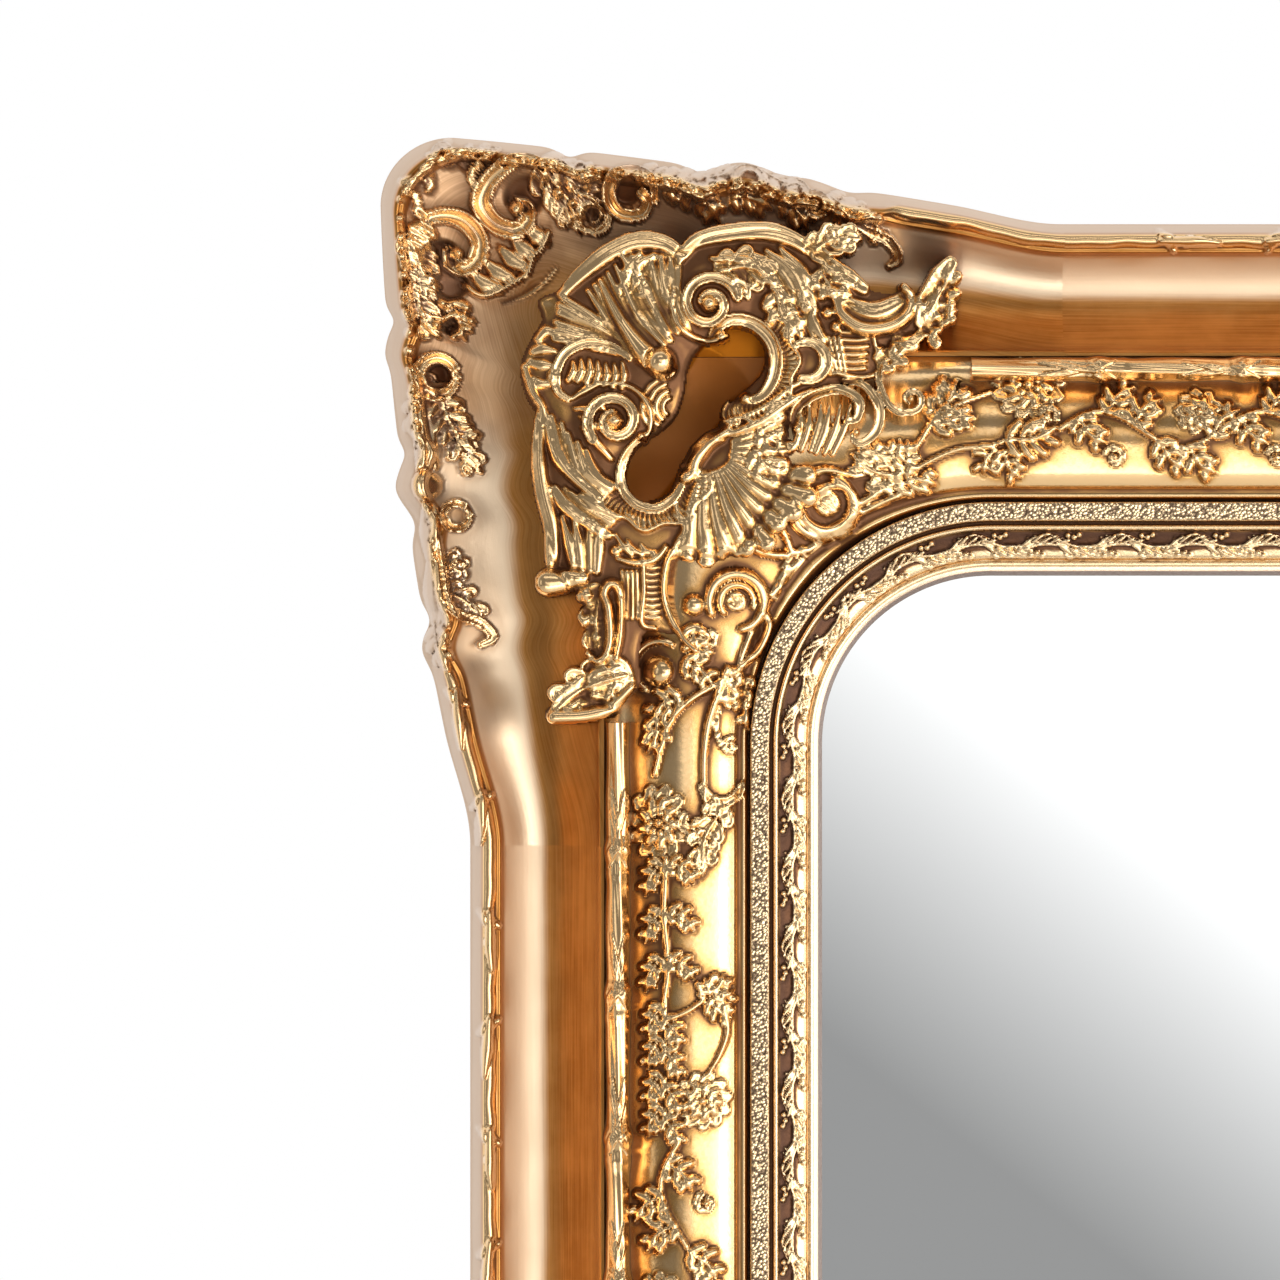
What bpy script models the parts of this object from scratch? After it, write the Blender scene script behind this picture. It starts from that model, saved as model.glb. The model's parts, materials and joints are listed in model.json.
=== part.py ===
"""Free-standing full-length mirror: a swept carved frame on a strainer, with a folding easel leg behind it.

Local frame coordinates: x to the right, y to the back, z up the face, with y = 0 on the back
of the mouldings and z = 0 on the lowest point of the frame. "Out" is the distance away from the
sight edge (the line where the glass starts to show), "rise" is the height towards the viewer.
"""

import math

import bmesh
import bpy
from mathutils import Matrix, Vector

MM = 0.001
GAP = 0.3 * MM

# Sight opening and moulding widths, measured outward from the sight edge.
SIGHT_WIDTH = 560 * MM
SIGHT_HEIGHT = 1460 * MM
SIGHT_RADIUS = 85 * MM
LINER_OUT = 37 * MM
PANEL_OUT = 110 * MM
RAIL_OUT = 178 * MM
FLARE = 46 * MM
CORNER_OUT = RAIL_OUT + FLARE
CORNER_RADIUS = 37 * MM
SIDE_SWEEP = 360 * MM
TOP_SWEEP = 345 * MM
SIDE_POWER = 1.9
TOP_POWER = 1.35
EASE_FROM = 0.84

# How the cove's inner edge runs round a swept corner, and how many sections each stretch has.
TURN_IN = PANEL_OUT - 12 * MM
STRAIGHT_TO = 60 * MM
SIDE_STATIONS = 12
TURN_STATIONS = 6
TOP_STATIONS = 11

# Section of the outer moulding, as (inward from the outer edge, rise) points and the shape of its cove.
RAIL_FLANK = ((0, 0), (0, 9 * MM), (6.5 * MM, 42 * MM))
RAIL_BEAD = ((8 * MM, 46 * MM), (10.5 * MM, 48 * MM), (13 * MM, 46 * MM), (14 * MM, 41 * MM))
COVE_FROM = 17 * MM
COVE_RISES = (36 * MM, 45 * MM)
COVE_DIP = 19 * MM
COVE_REACH = 1.05
COVE_POWER = 0.8

# Glass package in the rebate of the liner.
REBATE_OUT = 8 * MM
BOARD_THICK = 6 * MM
GLASS_THICK = 5 * MM
GLASS_REST = GAP + BOARD_THICK + GAP
LIP_UNDER = GLASS_REST + GLASS_THICK + GAP
PANE_PLAY = 1 * MM

# Section of the panel, as (part across, rise), and of the liner, as (outward from the sight edge, rise).
PANEL_PROFILE = (
    (0, 0), (0, 46 * MM), (0.07, 47 * MM), (0.10, 51 * MM), (0.28, 55 * MM), (0.50, 56 * MM),
    (0.72, 52 * MM), (0.79, 47 * MM), (0.97, 47 * MM), (1, 44 * MM), (1, 0),
)
LINER_PROFILE = (
    (REBATE_OUT, 0), (REBATE_OUT, LIP_UNDER), (0, LIP_UNDER), (0, LIP_UNDER + 2 * MM),
    (4 * MM, 33 * MM), (7 * MM, 34 * MM), (8.5 * MM, 38 * MM), (22 * MM, 45 * MM), (24 * MM, 48 * MM),
    (26 * MM, 46 * MM), (28 * MM, 50 * MM), (LINER_OUT, 50 * MM), (LINER_OUT, 0),
)

# Reeded stick in its bed: middle of its section, radius, and where it starts beside the corner.
STICK_MIDDLE = (103 * MM, 54.4 * MM)
STICK_RADIUS = 7 * MM
STICK_FROM = 74 * MM
STICK_SIDES = 10

# Strainer behind the mouldings.
STRAINER_THICK = 22 * MM
STRAINER_IN = 12 * MM
STRAINER_OUT = 150 * MM
STRAINER_BACK = GAP + STRAINER_THICK
HINGE_RAIL = (1330 * MM, 1450 * MM)
STAY_RAIL = (380 * MM, 470 * MM)
WOOD_EDGE = 1 * MM

# Stance: how far the frame leans back, and how far the leg opens from the frame.
LEAN = math.radians(9)
SPREAD = math.radians(17)
FOOT_RISE = 14 * MM
FOOT_AT = 184 * MM
FOOT_HALF = 20 * MM
FOOT_DEEP = 30 * MM

# Leg, in its own coordinates: down the leg from the hinge pin, and back from the pin.
HINGE_UP = 1390 * MM
PIN_BACK = STRAINER_BACK + 8 * MM
LEG_FRONT = -4 * MM
LEG_THICK = 22 * MM
LEG_BACK = LEG_FRONT + LEG_THICK
LEG_START = 9 * MM
STILE_WIDTH = 38 * MM
LEG_HALF_TOP = 110 * MM
LEG_HALF_FOOT = 175 * MM
HEAD_RAIL = (LEG_START, 79 * MM)
CROSS_RAIL = (560 * MM, 605 * MM)
DOWEL_DOWN = 1000 * MM
DOWEL_RADIUS = 12 * MM
DOWEL_SIDES = 16
LEG_TIP = 14 * MM
LEG_EDGE = 1.5 * MM
CROSS_SET_IN = 2 * MM

# Hardware.
HINGE_AT = 66 * MM
HINGE_HALF = 26 * MM
LEAF_REACH = 36 * MM
LEAF_THICK = 2 * MM
KNUCKLE = 5 * MM
PIN_RADIUS = 2.2 * MM
BORE = 0.3 * MM
BORE_SIDES = 14
PIN_SIDES = 12
LEAF_FOOT = 1 * MM
NECK_RISE = (4 * MM, 6 * MM)
TONGUE = 12 * MM
EMBED = 0.1 * MM
OVERRUN = 1 * MM
STAY_BACK = 16 * MM
STAY_HALF = 4 * MM
STAY_DEEP = 5 * MM
STAY_EYE = 8 * MM
STAY_PIN = 3 * MM
HOOK_DROP = 26 * MM
HOOK_NOSE = 3 * MM
HOOK_REACH = (4 * MM, 8 * MM, 10 * MM, 5 * MM)
STAY_PLATE_HALF = (22 * MM, 16 * MM)
STAY_PLATE_THICK = 2.5 * MM
EAR_FROM = 0.4 * MM
EAR_THICK = 3 * MM
EAR_SHAPE = ((2 * MM, 8 * MM), (8 * MM, 3 * MM))
EAR_ROOT = 9 * MM
STAY_PIN_HALF = 9.5 * MM
HANGER_UP = 1560 * MM
HANGER_SIDE = 345 * MM
RING_WIRE = 2 * MM
RING_HALF = 17 * MM
RING_SHOULDER = 8 * MM
RING_BOW = 20 * MM
STRAP_HALF = 9 * MM
STRAP_LONG = 46 * MM
STRAP_THICK = 2 * MM
BARREL_RADIUS = 2.1 * RING_WIRE
RING_BACK = 5.8 * MM

HALF_SIGHT = SIGHT_WIDTH / 2
SIGHT_BOTTOM = CORNER_OUT
SIGHT_TOP = SIGHT_BOTTOM + SIGHT_HEIGHT
SIGHT_MIDDLE = (SIGHT_BOTTOM + SIGHT_TOP) / 2
HALF_HEIGHT = SIGHT_HEIGHT / 2

ARC_STEPS = 6
COVE_STEPS = 7
PIN_LINE = Vector((0, PIN_BACK, HINGE_UP))

FINISHES = {
    "gilt_rail": ((0.56, 0.33, 0.14), 0.38, 0.85),
    "gilt_carving": ((0.74, 0.50, 0.25), 0.30, 0.88),
    "gilt_liner": ((0.50, 0.31, 0.15), 0.45, 0.75),
    "silvered_glass": ((0.92, 0.93, 0.93), 0.02, 1.0),
    "backing_board": ((0.33, 0.21, 0.12), 0.85, 0.0),
    "strainer_pine": ((0.62, 0.44, 0.25), 0.70, 0.0),
    "leg_wood": ((0.22, 0.12, 0.06), 0.50, 0.0),
    "brass": ((0.72, 0.52, 0.22), 0.32, 1.0),
    "steel": ((0.50, 0.50, 0.49), 0.35, 1.0),
    "rubber": ((0.03, 0.03, 0.03), 0.85, 0.0),
}


def clear_scene():
    """Removes every object of the startup scene."""
    for obj in list(bpy.data.objects):
        bpy.data.objects.remove(obj)


def finish(slot):
    """Returns the material of one finish, making it the first time."""
    material = bpy.data.materials.get(slot)
    if material is None:
        colour, roughness, metallic = FINISHES[slot]
        material = bpy.data.materials.new(slot)
        material.use_nodes = True
        shader = material.node_tree.nodes["Principled BSDF"]
        shader.inputs["Base Color"].default_value = (*colour, 1)
        shader.inputs["Roughness"].default_value = roughness
        shader.inputs["Metallic"].default_value = metallic
    return material


def solid(name, slot, points, faces, smooth=False):
    """Makes one object from points and faces in local frame coordinates."""
    shape = bmesh.new()
    verts = [shape.verts.new(point) for point in points]
    for face in faces:
        shape.faces.new([verts[index] for index in face])
    bmesh.ops.recalc_face_normals(shape, faces=shape.faces)
    mesh = bpy.data.meshes.new(name)
    shape.to_mesh(mesh)
    shape.free()
    obj = bpy.data.objects.new(name, mesh)
    bpy.context.scene.collection.objects.link(obj)
    mesh.materials.append(finish(slot))
    if smooth:
        mesh.polygons.foreach_set("use_smooth", [True] * len(mesh.polygons))
    return obj


def sweep(name, slot, sections, ring=False, smooth=False):
    """Joins a run of equal closed sections into one solid, capped at both ends unless it is a ring."""
    count = len(sections[0])
    points = [point for section in sections for point in section]
    faces = []
    for step in range(len(sections) if ring else len(sections) - 1):
        here = step * count
        there = (step + 1) % len(sections) * count
        for side in range(count):
            near = (side + 1) % count
            faces.append((here + side, here + near, there + near, there + side))
    if not ring:
        last = (len(sections) - 1) * count
        faces.append(tuple(range(count)))
        faces.append(tuple(last + side for side in range(count)))
    return solid(name, slot, points, faces, smooth)


def block(name, slot, low, high):
    """Makes a straight box between two corners."""
    section = [(low[1], low[2]), (high[1], low[2]), (high[1], high[2]), (low[1], high[2])]
    return extrude_x(name, slot, section, low[0], high[0])


def extrude_x(name, slot, outline, left, right, smooth=False):
    """Extrudes a (y, z) outline between two x positions."""
    sections = [[(x, y, z) for y, z in outline] for x in (left, right)]
    return sweep(name, slot, sections, smooth=smooth)


def circle(centre, radius, steps):
    """Returns a round (y, z) outline."""
    turns = [2 * math.pi * step / steps for step in range(steps)]
    return [(centre[0] + radius * math.cos(turn), centre[1] + radius * math.sin(turn)) for turn in turns]


def combine(obj, others, operation):
    """Bakes Boolean unions or cuts into the object and removes the helpers."""
    for other in others:
        modifier = obj.modifiers.new(operation, "BOOLEAN")
        modifier.operation = operation
        modifier.solver = "EXACT"
        modifier.object = other
    bpy.context.view_layer.update()
    graph = bpy.context.evaluated_depsgraph_get()
    baked = bpy.data.meshes.new_from_object(obj.evaluated_get(graph))
    obj.modifiers.clear()
    obj.data = baked
    for other in others:
        bpy.data.objects.remove(other)
    return obj


def bevelled(obj, width):
    """Breaks the long edges of a solid with a small chamfer."""
    modifier = obj.modifiers.new("edges", "BEVEL")
    modifier.width = width
    modifier.segments = 1
    modifier.limit_method = "ANGLE"
    modifier.angle_limit = math.radians(40)
    return obj


def mix(start, end, part):
    """Returns the value that lies a part of the way from start to end."""
    return start + (end - start) * part


def spread(start, end, steps):
    """Returns steps + 1 even values from start to end."""
    return [mix(start, end, step / steps) for step in range(steps + 1)]


def flare(distance, length, power):
    """Returns how far the swept outline stands out beyond the straight rail, this far from the corner."""
    part = min(distance / length, 1)
    if part < EASE_FROM:
        return FLARE * (1 - part**power)
    height = 1 - EASE_FROM**power
    slope = -power * EASE_FROM ** (power - 1) * (1 - EASE_FROM)
    along = (part - EASE_FROM) / (1 - EASE_FROM)
    rest = height * (2 * along**3 - 3 * along**2 + 1) + slope * (along**3 - 2 * along**2 + along)
    return FLARE * rest


def corner_stations():
    """Returns (outer, inner) pairs of (left, up) positions round one swept corner, side first.

    Both are measured outward from the point where the two sight edges would cross.
    """
    pairs = []
    bend = CORNER_OUT - CORNER_RADIUS

    def inner_along(outer):
        if outer < STRAIGHT_TO:
            return outer
        return mix(STRAIGHT_TO, TURN_IN, (outer - STRAIGHT_TO) / (bend - STRAIGHT_TO))

    for up in spread(CORNER_OUT - SIDE_SWEEP, bend, SIDE_STATIONS)[:-1]:
        left = RAIL_OUT + flare(CORNER_OUT - up, SIDE_SWEEP, SIDE_POWER)
        pairs.append(((left, up), (PANEL_OUT, inner_along(up))))
    side_left = RAIL_OUT + flare(CORNER_RADIUS, SIDE_SWEEP, SIDE_POWER)
    top_up = RAIL_OUT + flare(CORNER_RADIUS, TOP_SWEEP, TOP_POWER)
    for turn in spread(0, math.pi / 2, TURN_STATIONS):
        outer = (mix(bend, side_left, math.cos(turn)), mix(bend, top_up, math.sin(turn)))
        part = turn / (math.pi / 4)
        if part <= 1:
            inner = (PANEL_OUT, mix(TURN_IN, PANEL_OUT, part))
        else:
            inner = (mix(PANEL_OUT, TURN_IN, part - 1), PANEL_OUT)
        pairs.append((outer, inner))
    for left in spread(bend, CORNER_OUT - TOP_SWEEP, TOP_STATIONS)[1:]:
        up = RAIL_OUT + flare(CORNER_OUT - left, TOP_SWEEP, TOP_POWER)
        pairs.append(((left, up), (inner_along(left), PANEL_OUT)))
    return pairs


def rail_profile(width):
    """Returns the section of the outer moulding for this width: flank, rim bead and cove."""
    cove = []
    for part in spread(0, 1, COVE_STEPS):
        dip = math.sin(math.pi * min(part * COVE_REACH, 1)) ** COVE_POWER
        cove.append((mix(COVE_FROM, width, part), mix(*COVE_RISES, part) - COVE_DIP * dip))
    return [*RAIL_FLANK, *RAIL_BEAD, *cove, (width, 0)]


def rail_section(outer, inner, place):
    """Returns one section of the outer moulding between an outer and an inner position."""
    outer, inner = Vector(outer), Vector(inner)
    width = (inner - outer).length
    inward = (inner - outer) / width
    return [place(outer + inward * across, rise) for across, rise in rail_profile(width)]


def corner_place(side, end):
    """Returns the function that puts a (left, up) corner position on one of the four corners."""

    def place(spot, rise):
        return (side * (HALF_SIGHT + spot[0]), -rise, SIGHT_MIDDLE + end * (HALF_HEIGHT + spot[1]))

    return place


def side_place(side):
    """Returns the function that puts an (outward, along) position on the left or right side."""
    return lambda spot, rise: (side * (HALF_SIGHT + spot[0]), -rise, SIGHT_MIDDLE + spot[1])


def end_place(end):
    """Returns the function that puts an (outward, along) position on the top or bottom."""
    return lambda spot, rise: (spot[1], -rise, SIGHT_MIDDLE + end * (HALF_HEIGHT + spot[0]))


CORNERS = {"top_left": (-1, 1), "top_right": (1, 1), "bottom_left": (-1, -1), "bottom_right": (1, -1)}
SIDES = {
    "left": (side_place(-1), HALF_HEIGHT, SIDE_SWEEP),
    "right": (side_place(1), HALF_HEIGHT, SIDE_SWEEP),
    "top": (end_place(1), HALF_SIGHT, TOP_SWEEP),
    "bottom": (end_place(-1), HALF_SIGHT, TOP_SWEEP),
}


def make_outer_moulding():
    """Makes the four swept corner castings and the four straight rails between them."""
    for name, (side, end) in CORNERS.items():
        place = corner_place(side, end)
        sections = [rail_section(outer, inner, place) for outer, inner in corner_stations()]
        sweep(f"outer_corner_{name}", "gilt_rail", sections)
    for name, (place, half, length) in SIDES.items():
        reach = half + CORNER_OUT - length - GAP
        sections = [rail_section((RAIL_OUT, at), (PANEL_OUT, at), place) for at in (-reach, reach)]
        sweep(f"outer_rail_{name}", "gilt_rail", sections)


def mitred_run(half, inner_out, outer_out, profile, place, round_outer):
    """Returns the sections of a rail whose sight side is rounded at both mitres.

    Args:
        half: half the length of this side's sight edge.
        inner_out: where the section starts, outward from the sight edge.
        outer_out: where the section ends.
        profile: (part across, rise) points of the section.
        place: puts an (outward, along) position in the frame.
        round_outer: the outer edge is an arc too, instead of a square corner.
    """
    centre = half - SIGHT_RADIUS
    trim = GAP / math.sqrt(2)
    ends = []
    for turn in spread(math.pi / 4, 0, ARC_STEPS):
        radius = SIGHT_RADIUS + inner_out
        inner = Vector((radius * math.cos(turn) - SIGHT_RADIUS, centre + radius * math.sin(turn)))
        if round_outer:
            wide = SIGHT_RADIUS + outer_out
            outer = Vector((wide * math.cos(turn) - SIGHT_RADIUS, centre + wide * math.sin(turn)))
        else:
            outer = Vector((outer_out, centre + (SIGHT_RADIUS + outer_out) * turn / (math.pi / 4)))
        if turn > 0.99 * math.pi / 4:
            inner.y -= trim
            outer.y -= trim
        ends.append((inner, outer))
    runs = ends + [(Vector((a.x, -a.y)), Vector((b.x, -b.y))) for a, b in reversed(ends)]
    return [[place(inner.lerp(outer, part), rise) for part, rise in profile] for inner, outer in runs]


def make_inner_moulding():
    """Makes the four mitred panels with their stick beds, the four reeded sticks and the four liners."""
    shares = [(out / LINER_OUT, rise) for out, rise in LINER_PROFILE]
    stick = circle(STICK_MIDDLE, STICK_RADIUS, STICK_SIDES)
    for name, (place, half, _) in SIDES.items():
        sections = mitred_run(half, LINER_OUT + GAP, PANEL_OUT - GAP, PANEL_PROFILE, place, False)
        sweep(f"panel_{name}", "gilt_carving", sections)
        sweep(f"liner_{name}", "gilt_liner", mitred_run(half, 0, LINER_OUT, shares, place, True))
        reach = half - STICK_FROM
        sections = [[place((out, at), rise) for out, rise in stick] for at in (-reach, reach)]
        sweep(f"stick_{name}", "gilt_carving", sections)


def smooth_loop(points, steps):
    """Returns a closed curve through the points (a Catmull-Rom loop)."""
    loop = []
    for index in range(len(points)):
        p0, p1, p2, p3 = (Vector(points[(index + shift) % len(points)]) for shift in (-1, 0, 1, 2))
        for step in range(steps):
            t = step / steps
            loop.append(0.5 * (2 * p1 + (p2 - p0) * t + (2 * p0 - 5 * p1 + 4 * p2 - p3) * t**2
                               + (3 * p1 - p0 - 3 * p2 + p3) * t**3))
    return loop


# Pierced corner plate: its faces, its chamfer, and (out, up) positions of its edge and its hole, in millimetres.
CARTOUCHE_UNDER = 56.4 * MM
CARTOUCHE_TOP = 70 * MM
CARTOUCHE_CHAMFER = 4 * MM
CARTOUCHE_INNER = 0.975
PIERCING_RISES = (40 * MM, 90 * MM)
OUTLINE_STEPS = 2
CARTOUCHE_OUTLINE = [
    (104, -68), (132, -60), (116, -38), (121, -16), (142, -4), (139, 20), (144, 50), (146, 78), (153, 106),
    (142, 138), (128, 146), (93, 168), (71, 163), (44, 171), (3, 163), (-25, 140), (-62, 156), (-58, 128),
    (-66, 104), (-40, 74), (-8, 84), (14, 70), (20, 56), (22, 40), (44, 26), (56, 22), (70, -6), (86, -26),
]
CARTOUCHE_PIERCING = [
    (99, 38), (84, 66), (62, 84), (46, 112), (33, 126), (27, 108), (40, 84), (56, 62), (78, 46), (88, 30),
]


def make_cartouches():
    """Makes the four pierced corner cartouches that stand over the cove and the mitres."""
    for name, (side, end) in CORNERS.items():
        place = corner_place(side, end)
        outline = [spot * MM for spot in smooth_loop(CARTOUCHE_OUTLINE, OUTLINE_STEPS)]
        middle = sum(outline, Vector((0, 0))) / len(outline)
        edge = [middle + (spot - middle) * CARTOUCHE_INNER for spot in outline]
        levels = (
            (outline, CARTOUCHE_UNDER), (outline, CARTOUCHE_TOP - CARTOUCHE_CHAMFER), (edge, CARTOUCHE_TOP),
        )
        sections = [[place(spot, rise) for spot in spots] for spots, rise in levels]
        plate = sweep(f"cartouche_{name}", "gilt_carving", sections)
        hole = [spot * MM for spot in smooth_loop(CARTOUCHE_PIERCING, OUTLINE_STEPS)]
        cutter = sweep("cutter", "gilt_carving", [[place(spot, rise) for spot in hole] for rise in PIERCING_RISES])
        combine(plate, [cutter], "DIFFERENCE")


def rounded_pane(name, slot, grow, back, front):
    """Makes the sheet that fills the rebate, with corners that clear the rounded rebate."""
    half_wide = HALF_SIGHT + grow
    half_high = HALF_HEIGHT + grow
    radius = SIGHT_RADIUS + grow
    outline = []
    for right, up, first in ((1, 1, 0), (-1, 1, 1), (-1, -1, 2), (1, -1, 3)):
        for turn in spread(0, math.pi / 2, 2 * ARC_STEPS):
            angle = first * math.pi / 2 + turn
            outline.append((right * (half_wide - radius) + radius * math.cos(angle),
                            SIGHT_MIDDLE + up * (half_high - radius) + radius * math.sin(angle)))
    sections = [[(x, -rise, z) for x, z in outline] for rise in (back, front)]
    return sweep(name, slot, sections)


def make_glass():
    """Makes the silvered glass and the backing board in the rebate."""
    grow = REBATE_OUT - PANE_PLAY
    rounded_pane("mirror_glass", "silvered_glass", grow, GLASS_REST, GLASS_REST + GLASS_THICK)
    rounded_pane("backing_board", "backing_board", grow, GAP, GAP + BOARD_THICK)


def make_strainer():
    """Makes the wooden strainer: two stiles, a top and bottom rail, the hinge rail and the stay rail."""
    inside = HALF_SIGHT - STRAINER_IN
    outside = HALF_SIGHT + STRAINER_OUT
    low, high = SIGHT_BOTTOM - STRAINER_OUT, SIGHT_TOP + STRAINER_OUT
    for name, side in (("left", -1), ("right", 1)):
        xs = sorted((side * inside, side * outside))
        stile = block(f"strainer_stile_{name}", "strainer_pine", (xs[0], GAP, low), (xs[1], STRAINER_BACK, high))
        bevelled(stile, WOOD_EDGE)
    rails = {
        "bottom": (SIGHT_BOTTOM - STRAINER_OUT, SIGHT_BOTTOM + STRAINER_IN),
        "stay": STAY_RAIL,
        "hinge": HINGE_RAIL,
        "top": (SIGHT_TOP - STRAINER_IN, SIGHT_TOP + STRAINER_OUT),
    }
    for name, (low, high) in rails.items():
        reach = inside - GAP
        rail = block(f"strainer_rail_{name}", "strainer_pine", (-reach, GAP, low), (reach, STRAINER_BACK, high))
        bevelled(rail, WOOD_EDGE)


def lean_back(point):
    """Returns a local frame point after the frame leans back and stands on its feet."""
    x, y, z = point
    back = y * math.cos(LEAN) + z * math.sin(LEAN)
    height = z * math.cos(LEAN) - y * math.sin(LEAN)
    return Vector((x, back, height + FOOT_RISE))


def floor_below(y):
    """Returns the local z at which the floor lies, this far back in the frame."""
    return (y * math.sin(LEAN) - FOOT_RISE) / math.cos(LEAN)


def bottom_edge(out):
    """Returns the local z of the frame's lower outline, this far outward from the sight edge."""
    bend = CORNER_OUT - CORNER_RADIUS
    if out <= bend:
        return CORNER_RADIUS + bend - RAIL_OUT - flare(CORNER_OUT - out, TOP_SWEEP, TOP_POWER)
    side_left = RAIL_OUT + flare(CORNER_RADIUS, SIDE_SWEEP, SIDE_POWER)
    top_up = RAIL_OUT + flare(CORNER_RADIUS, TOP_SWEEP, TOP_POWER)
    across = (out - bend) / (side_left - bend)
    return CORNER_OUT - mix(bend, top_up, math.sqrt(1 - across**2))


def make_frame_feet():
    """Makes the two pads that fit the swept outline under the lower corners and rest flat on the floor."""
    front, back = -FOOT_DEEP - MM, -MM
    for name, side in (("left", -1), ("right", 1)):
        sections = []
        for out in spread(FOOT_AT - FOOT_HALF, FOOT_AT + FOOT_HALF, 8):
            x = side * (HALF_SIGHT + out)
            top = bottom_edge(out) - GAP
            sole = [(x, back, floor_below(back)), (x, front, floor_below(front))]
            sections.append([(x, front, top), (x, back, top), *sole])
        bevelled(sweep(f"frame_foot_{name}", "rubber", sections), WOOD_EDGE)


def leg_point(x, down, back):
    """Returns the local frame point at a place on the open leg."""
    turn = Matrix.Rotation(SPREAD, 3, "X")
    return PIN_LINE + turn @ Vector((x, back, -down))


def leg_half(down):
    """Returns half the width over the outsides of the leg, this far down."""
    return mix(LEG_HALF_TOP, LEG_HALF_FOOT, down / LEG_END)


def leg_end():
    """Returns how far down the leg its wood stops, to leave room for the rubber tip."""
    tilt = SPREAD - LEAN
    pin_height = lean_back(PIN_LINE).z
    return (pin_height - LEG_TIP - abs(LEG_FRONT) * math.sin(tilt)) / math.cos(tilt)


LEG_END = leg_end()


def leg_bar(name, downs, outside, inside, backs=(LEG_FRONT, LEG_BACK)):
    """Makes a leg member between two distances down the leg; outside and inside give its x edges there."""
    corners = []
    for down in downs:
        near, far = inside(down), outside(down)
        section = [(near, backs[0]), (far, backs[0]), (far, backs[1]), (near, backs[1])]
        corners.append([leg_point(x, down, back) for x, back in section])
    return bevelled(sweep(name, "leg_wood", corners), LEG_EDGE)


def make_leg():
    """Makes the splayed easel leg: two stiles, head rail, cross rail, lower dowel and rubber tips."""
    for name, side in (("left", -1), ("right", 1)):
        def outside(down, side=side):
            return side * leg_half(down)

        def inside(down, side=side):
            return side * (leg_half(down) - STILE_WIDTH)

        leg_bar(f"leg_stile_{name}", (LEG_START, LEG_END), outside, inside)
        tip = [leg_point(edge(LEG_END + GAP), LEG_END + GAP, back) for edge, back in
               ((inside, LEG_FRONT), (outside, LEG_FRONT), (outside, LEG_BACK), (inside, LEG_BACK))]
        sole = [Vector((point.x, point.y, floor_below(point.y))) for point in tip]
        bevelled(sweep(f"leg_foot_{name}", "rubber", [tip, sole]), LEG_EDGE)

    def inner_right(down):
        return leg_half(down) - STILE_WIDTH - GAP

    def inner_left(down):
        return -inner_right(down)

    leg_bar("leg_head_rail", HEAD_RAIL, inner_right, inner_left)
    set_in = (LEG_FRONT + CROSS_SET_IN, LEG_BACK - CROSS_SET_IN)
    leg_bar("leg_cross_rail", CROSS_RAIL, inner_right, inner_left, backs=set_in)
    middle = (LEG_FRONT + LEG_BACK) / 2
    reach = inner_right(DOWEL_DOWN - DOWEL_RADIUS)
    section = circle((0, 0), DOWEL_RADIUS, DOWEL_SIDES)
    ends = [[leg_point(x, DOWEL_DOWN + down, middle + back) for back, down in section] for x in (-reach, reach)]
    sweep("leg_dowel", "leg_wood", ends)


def make_hinges():
    """Makes the two butt hinges of the leg: frame leaf, leg leaf and pin."""
    for name, centre in (("left", -HINGE_AT), ("right", HINGE_AT)):
        left, right = centre - HINGE_HALF, centre + HINGE_HALF
        make_frame_leaf(name, centre, left, right)
        make_leg_leaf(name, centre, left, right)
        pin = circle((PIN_BACK, HINGE_UP), PIN_RADIUS, PIN_SIDES)
        extrude_x(f"hinge_pin_{name}", "steel", pin, left - OVERRUN, right + OVERRUN)


def hinge_bore(left, right):
    """Makes the cutter for the pin hole through a hinge."""
    hole = circle((PIN_BACK, HINGE_UP), PIN_RADIUS + BORE, BORE_SIDES)
    return extrude_x("bore", "brass", hole, left - OVERRUN, right + OVERRUN)


def make_frame_leaf(name, centre, left, right):
    """Makes the hinge leaf on the strainer, with a barrel at each end of the pin."""
    third = HINGE_HALF / 3
    face = STRAINER_BACK + GAP
    plate = block(f"hinge_frame_leaf_{name}", "brass", (left, face, HINGE_UP + LEAF_FOOT),
                  (right, face + LEAF_THICK, HINGE_UP + LEAF_REACH))
    neck = [(face + MM / 2, HINGE_UP + MM), (PIN_BACK, HINGE_UP + MM),
            (PIN_BACK, HINGE_UP + NECK_RISE[0]), (face + MM / 2, HINGE_UP + NECK_RISE[1])]
    parts = []
    for start, stop in ((left, centre - third - GAP), (centre + third + GAP, right)):
        barrel = circle((PIN_BACK, HINGE_UP), KNUCKLE, BORE_SIDES)
        parts.append(extrude_x("barrel", "brass", barrel, start, stop))
        parts.append(extrude_x("neck", "brass", neck, start + EMBED, stop - EMBED))
    combine(plate, parts, "UNION")
    window = block("window", "brass", (centre - third - GAP, face - MM, HINGE_UP - MM),
                   (centre + third + GAP, PIN_BACK + 2 * KNUCKLE, HINGE_UP + KNUCKLE + 2 * MM))
    combine(plate, [window, hinge_bore(left, right)], "DIFFERENCE")


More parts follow.
